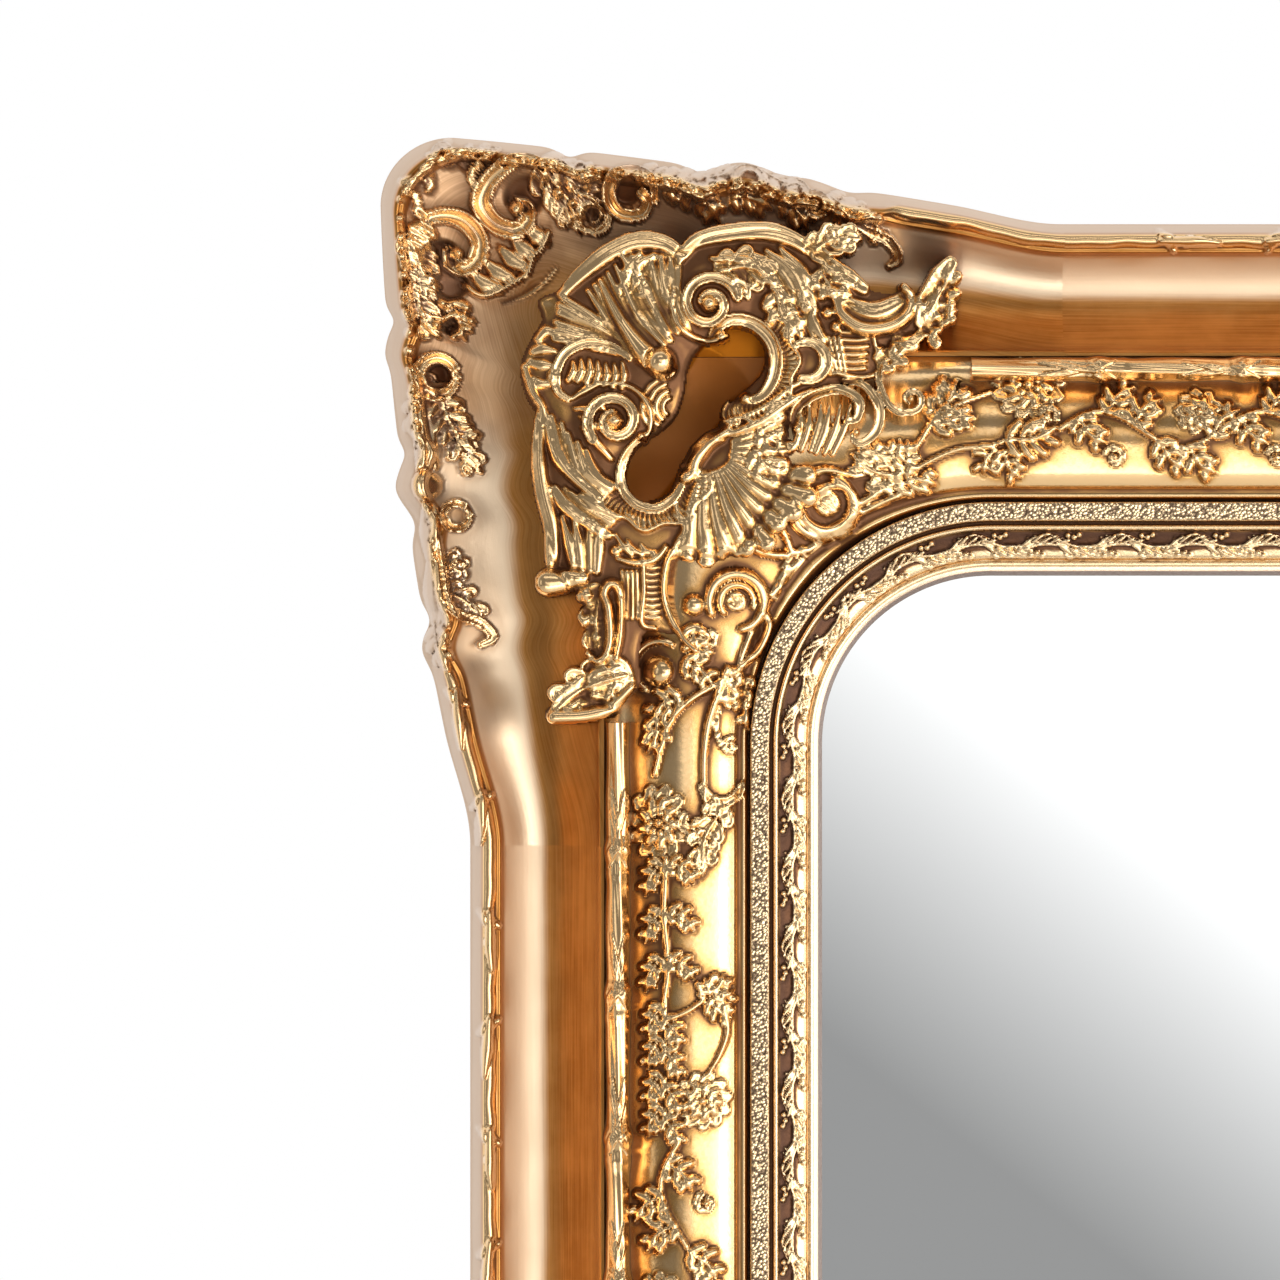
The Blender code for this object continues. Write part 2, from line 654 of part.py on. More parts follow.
def make_leg_leaf(name, centre, left, right):
    """Makes the hinge leaf on the leg, with its barrel in the middle of the pin."""
    third = HINGE_HALF / 3
    start, stop = centre - third + GAP, centre + third - GAP
    front = LEG_FRONT - GAP - LEAF_THICK
    barrel = circle((0, 0), KNUCKLE, BORE_SIDES)
    sections = [[leg_point(x, down, back) for back, down in barrel] for x in (start, stop)]
    leaf = sweep(f"hinge_leg_leaf_{name}", "brass", sections)
    plates = []
    for edges, downs, thin in (((start + EMBED, stop - EMBED), (0, TONGUE), EMBED),
                               ((left, right), (LEG_START + GAP, LEAF_REACH), 0)):
        near, far = front + thin, front + LEAF_THICK - thin
        outline = ((downs[0], near), (downs[1], near), (downs[1], far), (downs[0], far))
        corners = [[leg_point(x, down, back) for down, back in outline] for x in edges]
        plates.append(sweep("plate", "brass", corners))
    combine(leaf, plates, "UNION")
    combine(leaf, [hinge_bore(left, right)], "DIFFERENCE")


def dowel_centre():
    """Returns the local frame position of the middle of the lower dowel."""
    return leg_point(0, DOWEL_DOWN, (LEG_FRONT + LEG_BACK) / 2)


def make_stay():
    """Makes the hooked stay that holds the leg open: bracket on the stay rail, pin and swinging hook bar."""
    dowel = dowel_centre()
    under = dowel.z + DOWEL_RADIUS + GAP
    pivot = (STRAINER_BACK + STAY_BACK, under + STAY_DEEP)
    face = STRAINER_BACK + GAP
    half_wide, half_high = STAY_PLATE_HALF
    plate = block("stay_bracket", "steel", (-half_wide, face, pivot[1] - half_high),
                  (half_wide, face + STAY_PLATE_THICK, pivot[1] + half_high))
    (shoulder, tall), (nose, low) = EAR_SHAPE
    outline = [
        (face + MM, pivot[1] - EAR_ROOT), (pivot[0] + shoulder, pivot[1] - tall), (pivot[0] + nose, pivot[1] - low),
        (pivot[0] + nose, pivot[1] + low), (pivot[0] + shoulder, pivot[1] + tall), (face + MM, pivot[1] + EAR_ROOT),
    ]
    ears = []
    for side in (-1, 1):
        xs = sorted((side * (STAY_HALF + EAR_FROM), side * (STAY_HALF + EAR_FROM + EAR_THICK)))
        ears.append(extrude_x("ear", "steel", outline, *xs))
    combine(plate, ears, "UNION")
    combine(plate, [stay_bore(pivot)], "DIFFERENCE")
    extrude_x("stay_pin", "brass", circle(pivot, STAY_PIN, PIN_SIDES), -STAY_PIN_HALF, STAY_PIN_HALF)

    inside = dowel.y + DOWEL_RADIUS + GAP
    thick, point, back, shoulder = HOOK_REACH
    arm = [
        (pivot[0], under), (inside, under), (inside, under - HOOK_DROP),
        (inside + thick, under - HOOK_DROP - HOOK_NOSE), (inside + point, under - HOOK_DROP),
        (inside + back, under + thick), (inside + shoulder, under + 2 * STAY_DEEP), (pivot[0], under + 2 * STAY_DEEP),
    ]
    hook = extrude_x("stay_hook", "steel", circle(pivot, STAY_EYE - MM, DOWEL_SIDES), -STAY_HALF, STAY_HALF)
    combine(hook, [extrude_x("arm", "steel", arm, EMBED - STAY_HALF, STAY_HALF - EMBED)], "UNION")
    combine(hook, [stay_bore(pivot)], "DIFFERENCE")
    return Vector((0, *pivot))


def stay_bore(pivot):
    """Makes the cutter for the pin hole through the stay."""
    hole = circle(pivot, STAY_PIN + BORE, BORE_SIDES)
    return extrude_x("bore", "steel", hole, -3 * STAY_PIN_HALF, 3 * STAY_PIN_HALF)


def make_hangers():
    """Makes the two wall hangers: a strap plate on each stile and the D-ring that hangs in it."""
    axes = []
    face = STRAINER_BACK + GAP
    line = STRAINER_BACK + RING_BACK
    for name, side in (("left", -1), ("right", 1)):
        centre = side * HANGER_SIDE
        left, right = centre - STRAP_HALF, centre + STRAP_HALF
        plate = block(f"hanger_plate_{name}", "steel", (left, face, HANGER_UP),
                      (right, face + STRAP_THICK, HANGER_UP + STRAP_LONG))
        barrel = circle((line, HANGER_UP), BARREL_RADIUS, BORE_SIDES)
        combine(plate, [extrude_x("barrel", "steel", barrel, left, right)], "UNION")
        hole = circle((line, HANGER_UP), RING_WIRE + BORE, BORE_SIDES)
        combine(plate, [extrude_x("bore", "steel", hole, left - STRAP_HALF, right + STRAP_HALF)], "DIFFERENCE")
        sweep(f"hanger_ring_{name}", "steel", ring_sections(centre, line), ring=True, smooth=True)
        axes.append(Vector((centre, line, HANGER_UP)))
    return axes


def ring_sections(centre, line):
    """Returns the round sections of a D-ring's wire: a straight bar and a bow that hangs from it."""
    path = [(x, 0) for x in spread(-RING_HALF, RING_HALF, 2)]
    path += [(RING_HALF * math.cos(turn), -RING_SHOULDER - RING_BOW * math.sin(turn))
             for turn in spread(0, math.pi, 10)]
    sections = []
    for index, (x, z) in enumerate(path):
        before, after = path[index - 1], path[(index + 1) % len(path)]
        along = Vector((after[0] - before[0], after[1] - before[1])).normalized()
        section = []
        for turn in spread(0, 2 * math.pi, 8)[:-1]:
            across, deep = RING_WIRE * math.cos(turn), RING_WIRE * math.sin(turn)
            offset = Matrix.Rotation(LEAN, 3, "X") @ Vector((0, deep, z + across * along.x))
            section.append((centre + x - across * along.y, line + offset.y, HANGER_UP + offset.z))
        sections.append(section)
    return sections


def stand_up(stay_axis, ring_axes):
    """Leans everything back onto its feet, centres it front to back and puts moving origins on their axes."""
    pivots = {}
    for obj in list(bpy.context.scene.objects):
        for vertex in obj.data.vertices:
            vertex.co = lean_back(vertex.co)
        obj.data.update()
        if obj.name.startswith("leg_") or obj.name.startswith("hinge_leg_leaf"):
            pivots[obj.name] = PIN_LINE
        elif obj.name == "stay_hook":
            pivots[obj.name] = stay_axis
        elif obj.name.startswith("hanger_ring"):
            pivots[obj.name] = ring_axes[obj.name.endswith("right")]
    depths = [vertex.co.y for obj in bpy.context.scene.objects for vertex in obj.data.vertices]
    centre = Vector((0, (min(depths) + max(depths)) / 2, 0))
    for obj in bpy.context.scene.objects:
        origin = lean_back(pivots[obj.name]) - centre if obj.name in pivots else Vector()
        for vertex in obj.data.vertices:
            vertex.co = vertex.co - centre - origin
        obj.data.update()
        obj.location = origin


def main():
    """Builds the mirror."""
    clear_scene()
    make_outer_moulding()
    make_inner_moulding()
    make_cartouches()
    make_glass()
    make_strainer()
    make_frame_feet()
    make_leg()
    make_hinges()
    stay_axis = make_stay()
    ring_axes = make_hangers()
    stand_up(stay_axis, ring_axes)


main()
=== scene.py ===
"""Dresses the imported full-length mirror: carved gilt mouldings, glass, wooden back, easel leg and hardware.

Carving is worked in corner coordinates, in millimetres: "out" is how far a point lies outward from the
sight edge of the side, "up" how far beyond the sight edge of the top, and "rise" how far in front of the
back of the mouldings. All four quarters of the frame are mirror images of one another.
"""

from __future__ import annotations

import json
import logging
import math
from dataclasses import dataclass, field
from enum import Enum
from typing import Sequence

import bpy
import numpy as np
from mathutils import Euler, Matrix, Vector

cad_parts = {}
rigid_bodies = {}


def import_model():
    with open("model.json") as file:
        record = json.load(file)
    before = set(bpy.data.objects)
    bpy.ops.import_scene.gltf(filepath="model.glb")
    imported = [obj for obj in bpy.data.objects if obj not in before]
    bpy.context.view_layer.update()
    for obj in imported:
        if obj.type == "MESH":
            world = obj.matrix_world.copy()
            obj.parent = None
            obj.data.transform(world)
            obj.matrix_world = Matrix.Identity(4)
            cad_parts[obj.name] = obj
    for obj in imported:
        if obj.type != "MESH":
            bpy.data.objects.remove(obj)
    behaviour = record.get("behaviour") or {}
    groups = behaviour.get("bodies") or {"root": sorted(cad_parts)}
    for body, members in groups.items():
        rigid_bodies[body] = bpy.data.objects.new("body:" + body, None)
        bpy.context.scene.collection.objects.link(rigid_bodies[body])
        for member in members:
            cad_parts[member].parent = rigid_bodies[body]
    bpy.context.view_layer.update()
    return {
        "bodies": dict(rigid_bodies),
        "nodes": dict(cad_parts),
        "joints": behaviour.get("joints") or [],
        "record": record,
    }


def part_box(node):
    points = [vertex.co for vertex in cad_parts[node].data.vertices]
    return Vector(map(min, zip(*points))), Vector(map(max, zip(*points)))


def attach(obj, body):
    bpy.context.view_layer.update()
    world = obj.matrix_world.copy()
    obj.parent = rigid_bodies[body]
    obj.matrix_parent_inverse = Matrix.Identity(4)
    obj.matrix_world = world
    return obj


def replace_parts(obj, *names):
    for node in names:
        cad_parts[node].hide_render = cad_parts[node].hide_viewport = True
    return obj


LOG = logging.getLogger("mirror")
MM = 0.001
Spot = tuple[float, float]
Array = np.ndarray


# ---------------------------------------------------------------- shader graphs


class Wire:
    """One output of a shader node that can be used in sums."""

    def __init__(self, graph: "Graph", socket: bpy.types.NodeSocket) -> None:
        """Keeps the graph and the socket."""
        self.graph = graph
        self.socket = socket

    def _math(self, operation: str, first: object, second: object) -> "Wire":
        """Adds one Math node over two values."""
        return self.graph.node("ShaderNodeMath", {"operation": operation}, {0: first, 1: second})

    def __add__(self, other: object) -> "Wire":
        """Adds."""
        return self._math("ADD", self, other)

    __radd__ = __add__

    def __mul__(self, other: object) -> "Wire":
        """Multiplies."""
        return self._math("MULTIPLY", self, other)

    __rmul__ = __mul__

    def __sub__(self, other: object) -> "Wire":
        """Subtracts."""
        return self._math("SUBTRACT", self, other)

    def __rsub__(self, other: object) -> "Wire":
        """Subtracts this from another value."""
        return self._math("SUBTRACT", other, self)

    def __pow__(self, other: object) -> "Wire":
        """Raises to a power."""
        return self._math("POWER", self, other)

    def step(self, low: float, high: float) -> "Wire":
        """Rises smoothly from 0 at low to 1 at high."""
        settings = {"interpolation_type": "SMOOTHSTEP"}
        inputs = {"Value": self, "From Min": low, "From Max": high}
        return self.graph.node("ShaderNodeMapRange", settings, inputs)


class Graph:
    """The node tree of one material."""

    def __init__(self, name: str) -> None:
        """Makes the material with its Principled shader."""
        self.material = bpy.data.materials.new(name)
        self.material.use_nodes = True
        self.tree = self.material.node_tree
        self.shader = self.tree.nodes["Principled BSDF"]

    def put(self, node: bpy.types.Node, key: object, value: object) -> None:
        """Sets or links one input of a node."""
        socket = node.inputs[key]
        if isinstance(value, Wire):
            self.tree.links.new(value.socket, socket)
        elif isinstance(value, (tuple, list)) and len(value) == 3 and socket.type == "RGBA":
            socket.default_value = (*value, 1.0)
        else:
            socket.default_value = value

    def node(self, kind: str, settings: dict, inputs: dict, output: object = 0) -> Wire:
        """Adds any node.

        Args:
            kind: the node's Blender type.
            settings: attributes to set on it.
            inputs: values or wires by input name or number.
            output: which output to return.

        Returns:
            The wire of that output.
        """
        made = self.tree.nodes.new(kind)
        for key, value in settings.items():
            setattr(made, key, value)
        for key, value in inputs.items():
            self.put(made, key, value)
        return Wire(self, made.outputs[output])

    def blend(self, start: object, end: object, factor: object) -> Wire:
        """Mixes two colours."""
        return self.node("ShaderNodeMix", {"data_type": "RGBA"}, {0: factor, 6: start, 7: end}, 2)

    def coords(self) -> Wire:
        """Returns the object's own coordinates."""
        return self.node("ShaderNodeTexCoord", {}, {}, "Object")

    def value(self, name: str) -> Wire:
        """Returns a value that is stored on the mesh."""
        return self.node("ShaderNodeAttribute", {"attribute_name": name}, {}, "Fac")

    def vector(self, name: str) -> Wire:
        """Returns a vector that is stored on the mesh."""
        return self.node("ShaderNodeAttribute", {"attribute_name": name}, {}, "Vector")

    def scaled(self, vector: Wire, scale: Sequence[float]) -> Wire:
        """Stretches a vector."""
        return self.node("ShaderNodeVectorMath", {"operation": "MULTIPLY"}, {0: vector, 1: tuple(scale)})

    def noise(self, vector: Wire, scale: float, detail: float = 4.0, rough: float = 0.55) -> Wire:
        """Adds a noise texture and returns its value."""
        inputs = {"Vector": vector, "Scale": scale, "Detail": detail, "Roughness": rough}
        return self.node("ShaderNodeTexNoise", {}, inputs)

    def bump(self, height: Wire, distance: float, strength: float = 1.0) -> Wire:
        """Adds a bump."""
        return self.node("ShaderNodeBump", {}, {"Height": height, "Distance": distance, "Strength": strength})

    def finish(self, **inputs: object) -> bpy.types.Material:
        """Sets the shader's inputs, with underscores for spaces, and returns the material."""
        for key, value in inputs.items():
            self.put(self.shader, key.replace("_", " "), value)
        return self.material


# ---------------------------------------------------------------- finishes


@dataclass(frozen=True)
class Gilding:
    """Water-gilt and toned carving: bright on the tops, brown in the hollows partly as toning and partly as
    painted shade, with a painted orange glow behind the piercing.
    """

    name: str = "gilt_carving"
    bright: tuple = (0.95, 0.64, 0.325)
    middle: tuple = (0.66, 0.35, 0.11)
    dark: tuple = (0.15, 0.060, 0.026)
    # Painted glow: the saturated orange of the floor seen through the piercing, standing for light bounced
    # about inside it.
    deep: tuple = (0.60, 0.19, 0.012)
    gloss: float = 0.19

    def build(self) -> bpy.types.Material:
        """Builds the material."""
        graph = Graph(self.name)
        place = graph.coords()
        hollow = graph.value("hollow")
        cloud = graph.noise(place, 55.0, 5.0)
        fine = graph.noise(place, 420.0, 3.0)
        # Painted glow: where the mesh marks the floor behind the piercing, the colour turns orange and less
        # metallic to stand for bounced light.
        hole_glow = graph.value("hole_glow")
        # Darkening by the hollow value: toning in the carving's hollows, and painted shade where the mesh
        # forces that value high, as down the cartouche's walls.
        grime_and_shade = (hollow + (cloud - 0.5) * 0.24).step(0.57, 0.84)
        worn = (hollow + (fine - 0.5) * 0.14).step(0.66, 0.42)
        body = graph.blend(self.middle, self.bright, worn)
        colour = graph.blend(body, self.dark, grime_and_shade * 0.94)
        colour = graph.blend(colour, self.deep, hole_glow)
        rough = self.gloss + grime_and_shade * 0.30 + (fine - 0.5) * 0.12 + hole_glow * 0.2
        height = fine * 0.45 + cloud * 0.8
        return graph.finish(
            Base_Color=colour, Metallic=1.0 - grime_and_shade * 0.25 - hole_glow * 0.7, Roughness=rough,
            Normal=graph.bump(height, 0.00022, 0.75))


@dataclass(frozen=True)
class Cove:
    """The outer moulding: orange-brown cove with painted shade, a pale painted highlight band beside the rim,
    bright carved tops and a pale outer flank.
    """

    name: str = "gilt_cove"
    # Pale: the colour of the painted highlight band that runs along the cove beside the rim.
    pale: tuple = (0.93, 0.72, 0.50)
    # The cove's orange-browns: toned gilt streaked along its length, deepened as painted shade for light
    # bounced inside the hollow.
    shaded_satin: tuple = (0.64, 0.30, 0.085)
    shaded_streak: tuple = (0.42, 0.165, 0.032)
    bright: tuple = (0.92, 0.62, 0.32)
    dark: tuple = (0.15, 0.060, 0.026)
    # Painted glow: the saturated orange of the floor seen through the piercing, standing for light bounced
    # about inside it.
    deep: tuple = (0.60, 0.19, 0.012)
    flank: tuple = (0.84, 0.61, 0.43)

    def build(self) -> bpy.types.Material:
        """Builds the material."""
        graph = Graph(self.name)
        place = graph.coords()
        hollow = graph.value("hollow")
        carved = graph.value("carved")
        flank = graph.value("flank")
        along = graph.scaled(graph.vector("grain"), (14.0, 900.0, 1.0))
        lines = graph.noise(along, 1.0, 3.0, 0.6)
        cloud = graph.noise(place, 38.0, 5.0)
        fine = graph.noise(place, 420.0, 3.0)
        # Darkening of the carving by the hollow value: toning, and painted shade in the pits between the
        # scrolls.
        grime_and_shade = (hollow + (cloud - 0.5) * 0.24).step(0.56, 0.88)
        patches = graph.noise(place, 16.0, 3.0)
        plain = graph.blend(self.shaded_satin, self.shaded_streak, (lines * 0.6 + cloud * 0.5 - 0.05).step(0.30, 0.75))
        # Painted light and shade across the cove: the pale highlight colour by the rim, the shaded orange
        # further in and in the undercut, broken up by noise.
        edge = graph.value("cove_shade") + (patches - 0.5) * 0.34 + (lines - 0.5) * 0.18
        plain = graph.blend(self.pale, plain, edge.step(0.18, 0.82))
        leaf = graph.blend(plain, self.bright, carved * (hollow + (fine - 0.5) * 0.2).step(0.66, 0.42))
        colour = graph.blend(leaf, self.dark, grime_and_shade * carved * 0.92)
        # Painted glow on the floor behind the piercing.
        colour = graph.blend(colour, self.deep, graph.value("hole_glow"))
        colour = graph.blend(colour, self.flank, flank)
        rough = 0.36 + (lines - 0.5) * 0.16 - carved * 0.14 + grime_and_shade * 0.2 + flank * 0.10
        height = lines * 0.35 + fine * 0.5 + cloud * 0.7
        return graph.finish(
            Base_Color=colour, Metallic=0.96 - flank * 0.55 - grime_and_shade * carved * 0.25, Roughness=rough,
            Normal=graph.bump(height, 0.00018, 0.6))


@dataclass(frozen=True)
class Plain:
    """A simple finish with clouding, fine grain and a little relief."""

    name: str
    light: tuple
    deep: tuple
    rough: float
    metal: float = 0.0
    grain: tuple = (1.0, 1.0, 1.0)
    scale: float = 120.0
    relief: float = 0.0001
    coat: float = 0.0

    def build(self) -> bpy.types.Material:
        """Builds the material."""
        graph = Graph(self.name)
        place = graph.coords()
        grained = graph.noise(graph.scaled(place, self.grain), self.scale, 6.0, 0.62)
        cloud = graph.noise(place, 11.0, 3.0)
        colour = graph.blend(self.light, self.deep, (grained * 0.7 + cloud * 0.5 - 0.1).step(0.32, 0.72))
        return graph.finish(
            Base_Color=colour, Metallic=self.metal, Roughness=(grained - 0.5) * 0.22 + self.rough,
            Coat_Weight=self.coat, Normal=graph.bump(grained, self.relief, 0.7))


@dataclass(frozen=True)
class Silvering:
    """Silvered glass with the faintest unevenness and a few soft marks."""

    name: str = "silvered_glass"

    def build(self) -> bpy.types.Material:
        """Builds the material."""
        graph = Graph(self.name)
        place = graph.coords()
        haze = graph.noise(place, 7.0, 3.0)
        return graph.finish(
            Base_Color=graph.blend((0.93, 0.94, 0.94), (0.9, 0.91, 0.91), haze), Metallic=1.0,
            Roughness=haze.step(0.55, 0.9) * 0.025 + 0.012, Normal=graph.bump(haze, 2e-05, 0.3))


# ---------------------------------------------------------------- carving

SPIRAL_EYE = 0.16
VEINED_FROM = 3.4
VEINED_PETAL_FROM = 3.2


class Section(Enum):
    """The cross-section of a carved stroke."""

    ROUND = "round"
    SOFT = "soft"
    SCROLL = "scroll"
    LEAF = "leaf"
    FLAT = "flat"


ROUND, SOFT, SCROLL, LEAF, FLAT = Section


def profile(section: Section, across: Array) -> Array:
    """Returns the share of full height at each signed distance across, from -1 to 1."""
    u = np.clip(np.abs(across), 0, 1)
    edge = np.sqrt(np.clip((1 - u) / 0.16, 0, 1))
    if section is Section.ROUND:
        return np.sqrt(1 - u * u)
    if section is Section.SOFT:
        return (1 - u * u) ** 1.5
    if section is Section.SCROLL:
        return edge * (0.50 + 0.50 * np.exp(-(((u - 0.80) / 0.17) ** 2)) - 0.10 * np.exp(-((u / 0.3) ** 2)))
    if section is Section.LEAF:
        return edge * (0.42 + 0.58 * u**1.4 + 0.26 * np.exp(-((u / 0.16) ** 2)))
    return edge


def curve(points: Sequence[Spot], steps: int = 10) -> Array:
    """Returns a smooth line through the points."""
    knots = np.array(points, float)
    if len(knots) < 3:
        share = np.linspace(0, 1, steps + 1)[:, None]
        return knots[0] * (1 - share) + knots[-1] * share
    padded = np.vstack([2 * knots[0] - knots[1], knots, 2 * knots[-1] - knots[-2]])
    t = np.linspace(0, 1, steps, endpoint=False)[:, None]
    parts = []
    for p0, p1, p2, p3 in zip(padded, padded[1:], padded[2:], padded[3:]):
        cubic = (-p0 + 3 * p1 - 3 * p2 + p3) * t**3 + (2 * p0 - 5 * p1 + 4 * p2 - p3) * t**2
        parts.append(0.5 * (cubic + (p2 - p0) * t + 2 * p1))
    return np.vstack([*parts, knots[-1:]])


@dataclass
class Stroke:
    """One carved ridge: a line with a width and a height that can change along it."""

    path: Array
    wide: Array
    high: Array
    section: Section = Section.ROUND
    lift: float = 0.0
    trench: float = 1.2
    over: bool = False

    def __post_init__(self) -> None:
        """Makes the sizes as long as the path."""
        count = len(self.path)
        share = np.linspace(0, 1, count)
        for name in ("wide", "high"):
            given = np.atleast_1d(np.asarray(getattr(self, name), float))
            setattr(self, name, np.interp(share, np.linspace(0, 1, len(given)), given))

    def nearest(self, x: Array, y: Array) -> tuple[Array, Array, Array, Array]:
        """Measures points against the line.

        Args:
            x: how far out each point lies.
            y: how far up.

        Returns:
            For each point its distance in half widths, its side, and the width and height there.
        """
        best = np.full(len(x), 1e9)
        side = np.zeros(len(x))
        wide = np.ones(len(x))
        tall = np.zeros(len(x))
        for step in range(len(self.path) - 1):
            (x0, y0), (x1, y1) = self.path[step], self.path[step + 1]
            dx, dy = x1 - x0, y1 - y0
            length = dx * dx + dy * dy + 1e-9
            t = np.clip(((x - x0) * dx + (y - y0) * dy) / length, 0, 1)
            away = np.hypot(x - x0 - t * dx, y - y0 - t * dy)
            local = self.wide[step] * (1 - t) + self.wide[step + 1] * t
            share = away / np.maximum(local, 0.05)
            closer = share < best
            best = np.where(closer, share, best)
            side = np.where(closer, np.sign(dx * (y - y0) - dy * (x - x0)), side)
            wide = np.where(closer, local, wide)
            tall = np.where(closer, self.high[step] * (1 - t) + self.high[step + 1] * t, tall)
        return best, side, wide, tall


class Relief:
    """A carved surface: a place and a rise for every point of a grid."""

    def __init__(self, out: Array, up: Array, rise: Array) -> None:
        """Keeps the plain surface as the ground that strokes stand on."""
        self.out = out
        self.up = up
        self.ground = rise.copy()
        self.rise = rise.copy()
        self.carved = np.zeros_like(rise)
        self.covered = np.zeros(rise.shape, bool)

    def cut(self, stroke: Stroke) -> None:
        """Carves one stroke, with a narrow groove round it."""
        reach = stroke.wide.max() * 1.5 + 0.6
        low = stroke.path.min(0) - reach
        high = stroke.path.max(0) + reach
        near = (self.out > low[0]) & (self.out < high[0]) & (self.up > low[1]) & (self.up < high[1])
        rows, columns = np.nonzero(near)
        if not len(rows):
            return
        x = self.out[rows, columns]
        y = self.up[rows, columns]
        best, side, wide, tall = stroke.nearest(x, y)
        ground = self.ground[rows, columns]
        rise = self.rise[rows, columns]
        inside = best < 1
        groove_width = 0.9 / np.maximum(wide, 0.3)
        groove = np.clip((1 + groove_width - best) / groove_width, 0, 1)
        sunk = np.maximum(np.minimum(rise, ground - 0.35), rise - stroke.trench * groove)
        rise = np.where(inside & (not stroke.over), rise, sunk)
        top = ground + stroke.lift + tall * profile(stroke.section, best * side)
        rise = np.where(inside, top if stroke.over else np.maximum(rise, top), rise)
        self.rise[rows, columns] = rise
        self.covered[rows, columns] |= inside
        shade = np.clip(1.5 - best, 0, 1)
        self.carved[rows, columns] = np.maximum(self.carved[rows, columns], shade)

    def work(self, strokes: Sequence[Stroke]) -> "Relief":
        """Carves every stroke in turn."""
        for stroke in strokes:
            self.cut(stroke)
        return self

    def hollow(self, spacing: float, reach: float = 2.4, depth: float = 3.6) -> Array:
        """Returns how sunken each point is against its surroundings: 0.5 is level, 1 deep."""
        total = np.zeros_like(self.rise)
        for scale in (1.0, 3.0):
            size = max(1, round(reach * scale / spacing))
            total += box_blur(self.rise, size) - self.rise
        return np.clip(0.5 + total / (2 * depth), 0, 1)


def box_blur(field_in: Array, size: int) -> Array:
    """Averages over a square of 2 * size + 1 points, twice."""
    result = field_in
    for _ in range(2):
        for axis in (0, 1):
            pad = [(0, 0), (0, 0)]
            pad[axis] = (size + 1, size)
            running = np.cumsum(np.pad(result, pad, "edge"), axis)
            first = [slice(None)] * 2
            last = [slice(None)] * 2
            first[axis] = slice(0, result.shape[axis])
            last[axis] = slice(2 * size + 1, None)
            result = (running[tuple(last)] - running[tuple(first)]) / (2 * size + 1)
    return result


def polar(centre: Spot, radius: float, degrees: float) -> Spot:
    """Returns the point at a distance and angle from a centre, counter-clockwise from outward."""
    turn = math.radians(degrees)
    return (centre[0] + radius * math.cos(turn), centre[1] + radius * math.sin(turn))


def arc(centre: Spot, radius: float, start: float, end: float, steps: int) -> Array:
    """Returns an arc between two angles in degrees."""
    turns = np.radians(np.linspace(start, end, steps + 1))
    return np.stack([centre[0] + radius * np.cos(turns), centre[1] + radius * np.sin(turns)], 1)


def spiral(centre: Spot, radius: float, start: float, turns: float) -> Array:
    """Returns a spiral that winds in from the radius; turns is negative for clockwise."""
    steps = max(16, int(abs(turns) * 30))
    share = np.linspace(0, 1, steps + 1)
    angle = np.radians(start) + share * turns * 2 * np.pi
    size = radius * (1 - share * (1 - SPIRAL_EYE))
    return np.stack([centre[0] + size * np.cos(angle), centre[1] + size * np.sin(angle)], 1)


# ---------------------------------------------------------------- ornament


def knob(centre: Spot, radius: float, high: float, lift: float = 0.0) -> list[Stroke]:
    """Returns a half ball."""
    path = np.array([centre, (centre[0] + 0.05, centre[1])])
    return [Stroke(path, radius, high, ROUND, lift, over=lift > 0)]


def disc(centre: Spot, radius: float, high: float) -> list[Stroke]:
    """Returns a flat button with a hammered face."""
    strokes = [Stroke(np.array([centre, (centre[0] + 0.05, centre[1])]), radius, high, FLAT)]
    for index in range(9):
        spot = polar(centre, radius * (0.25 + 0.45 * (index % 3) / 2), 137.5 * index)
        strokes += knob(spot, radius * 0.2, high + 0.7)
    return strokes


def volute(centre: Spot, radius: float, start: float, turns: float, wide: float, high: float,
           lead: Sequence[Spot] = (), lift: float = 0.0) -> list[Stroke]:
    """Returns a scroll band that winds into a button, with an optional run of points that leads in."""
    wound = spiral(centre, radius, start, turns)
    path = np.vstack([curve([*lead, tuple(wound[0])])[:-1], wound]) if lead else wound
    widths = [wide * 0.55, wide, wide * 0.9, wide * 0.5] if lead else [wide, wide * 0.9, wide * 0.45]
    strokes = [Stroke(path, widths, [high * 0.75, high, high * 1.1], SCROLL, lift, 1.6)]
    return strokes + knob(centre, radius * 0.26, high * 1.25, lift)


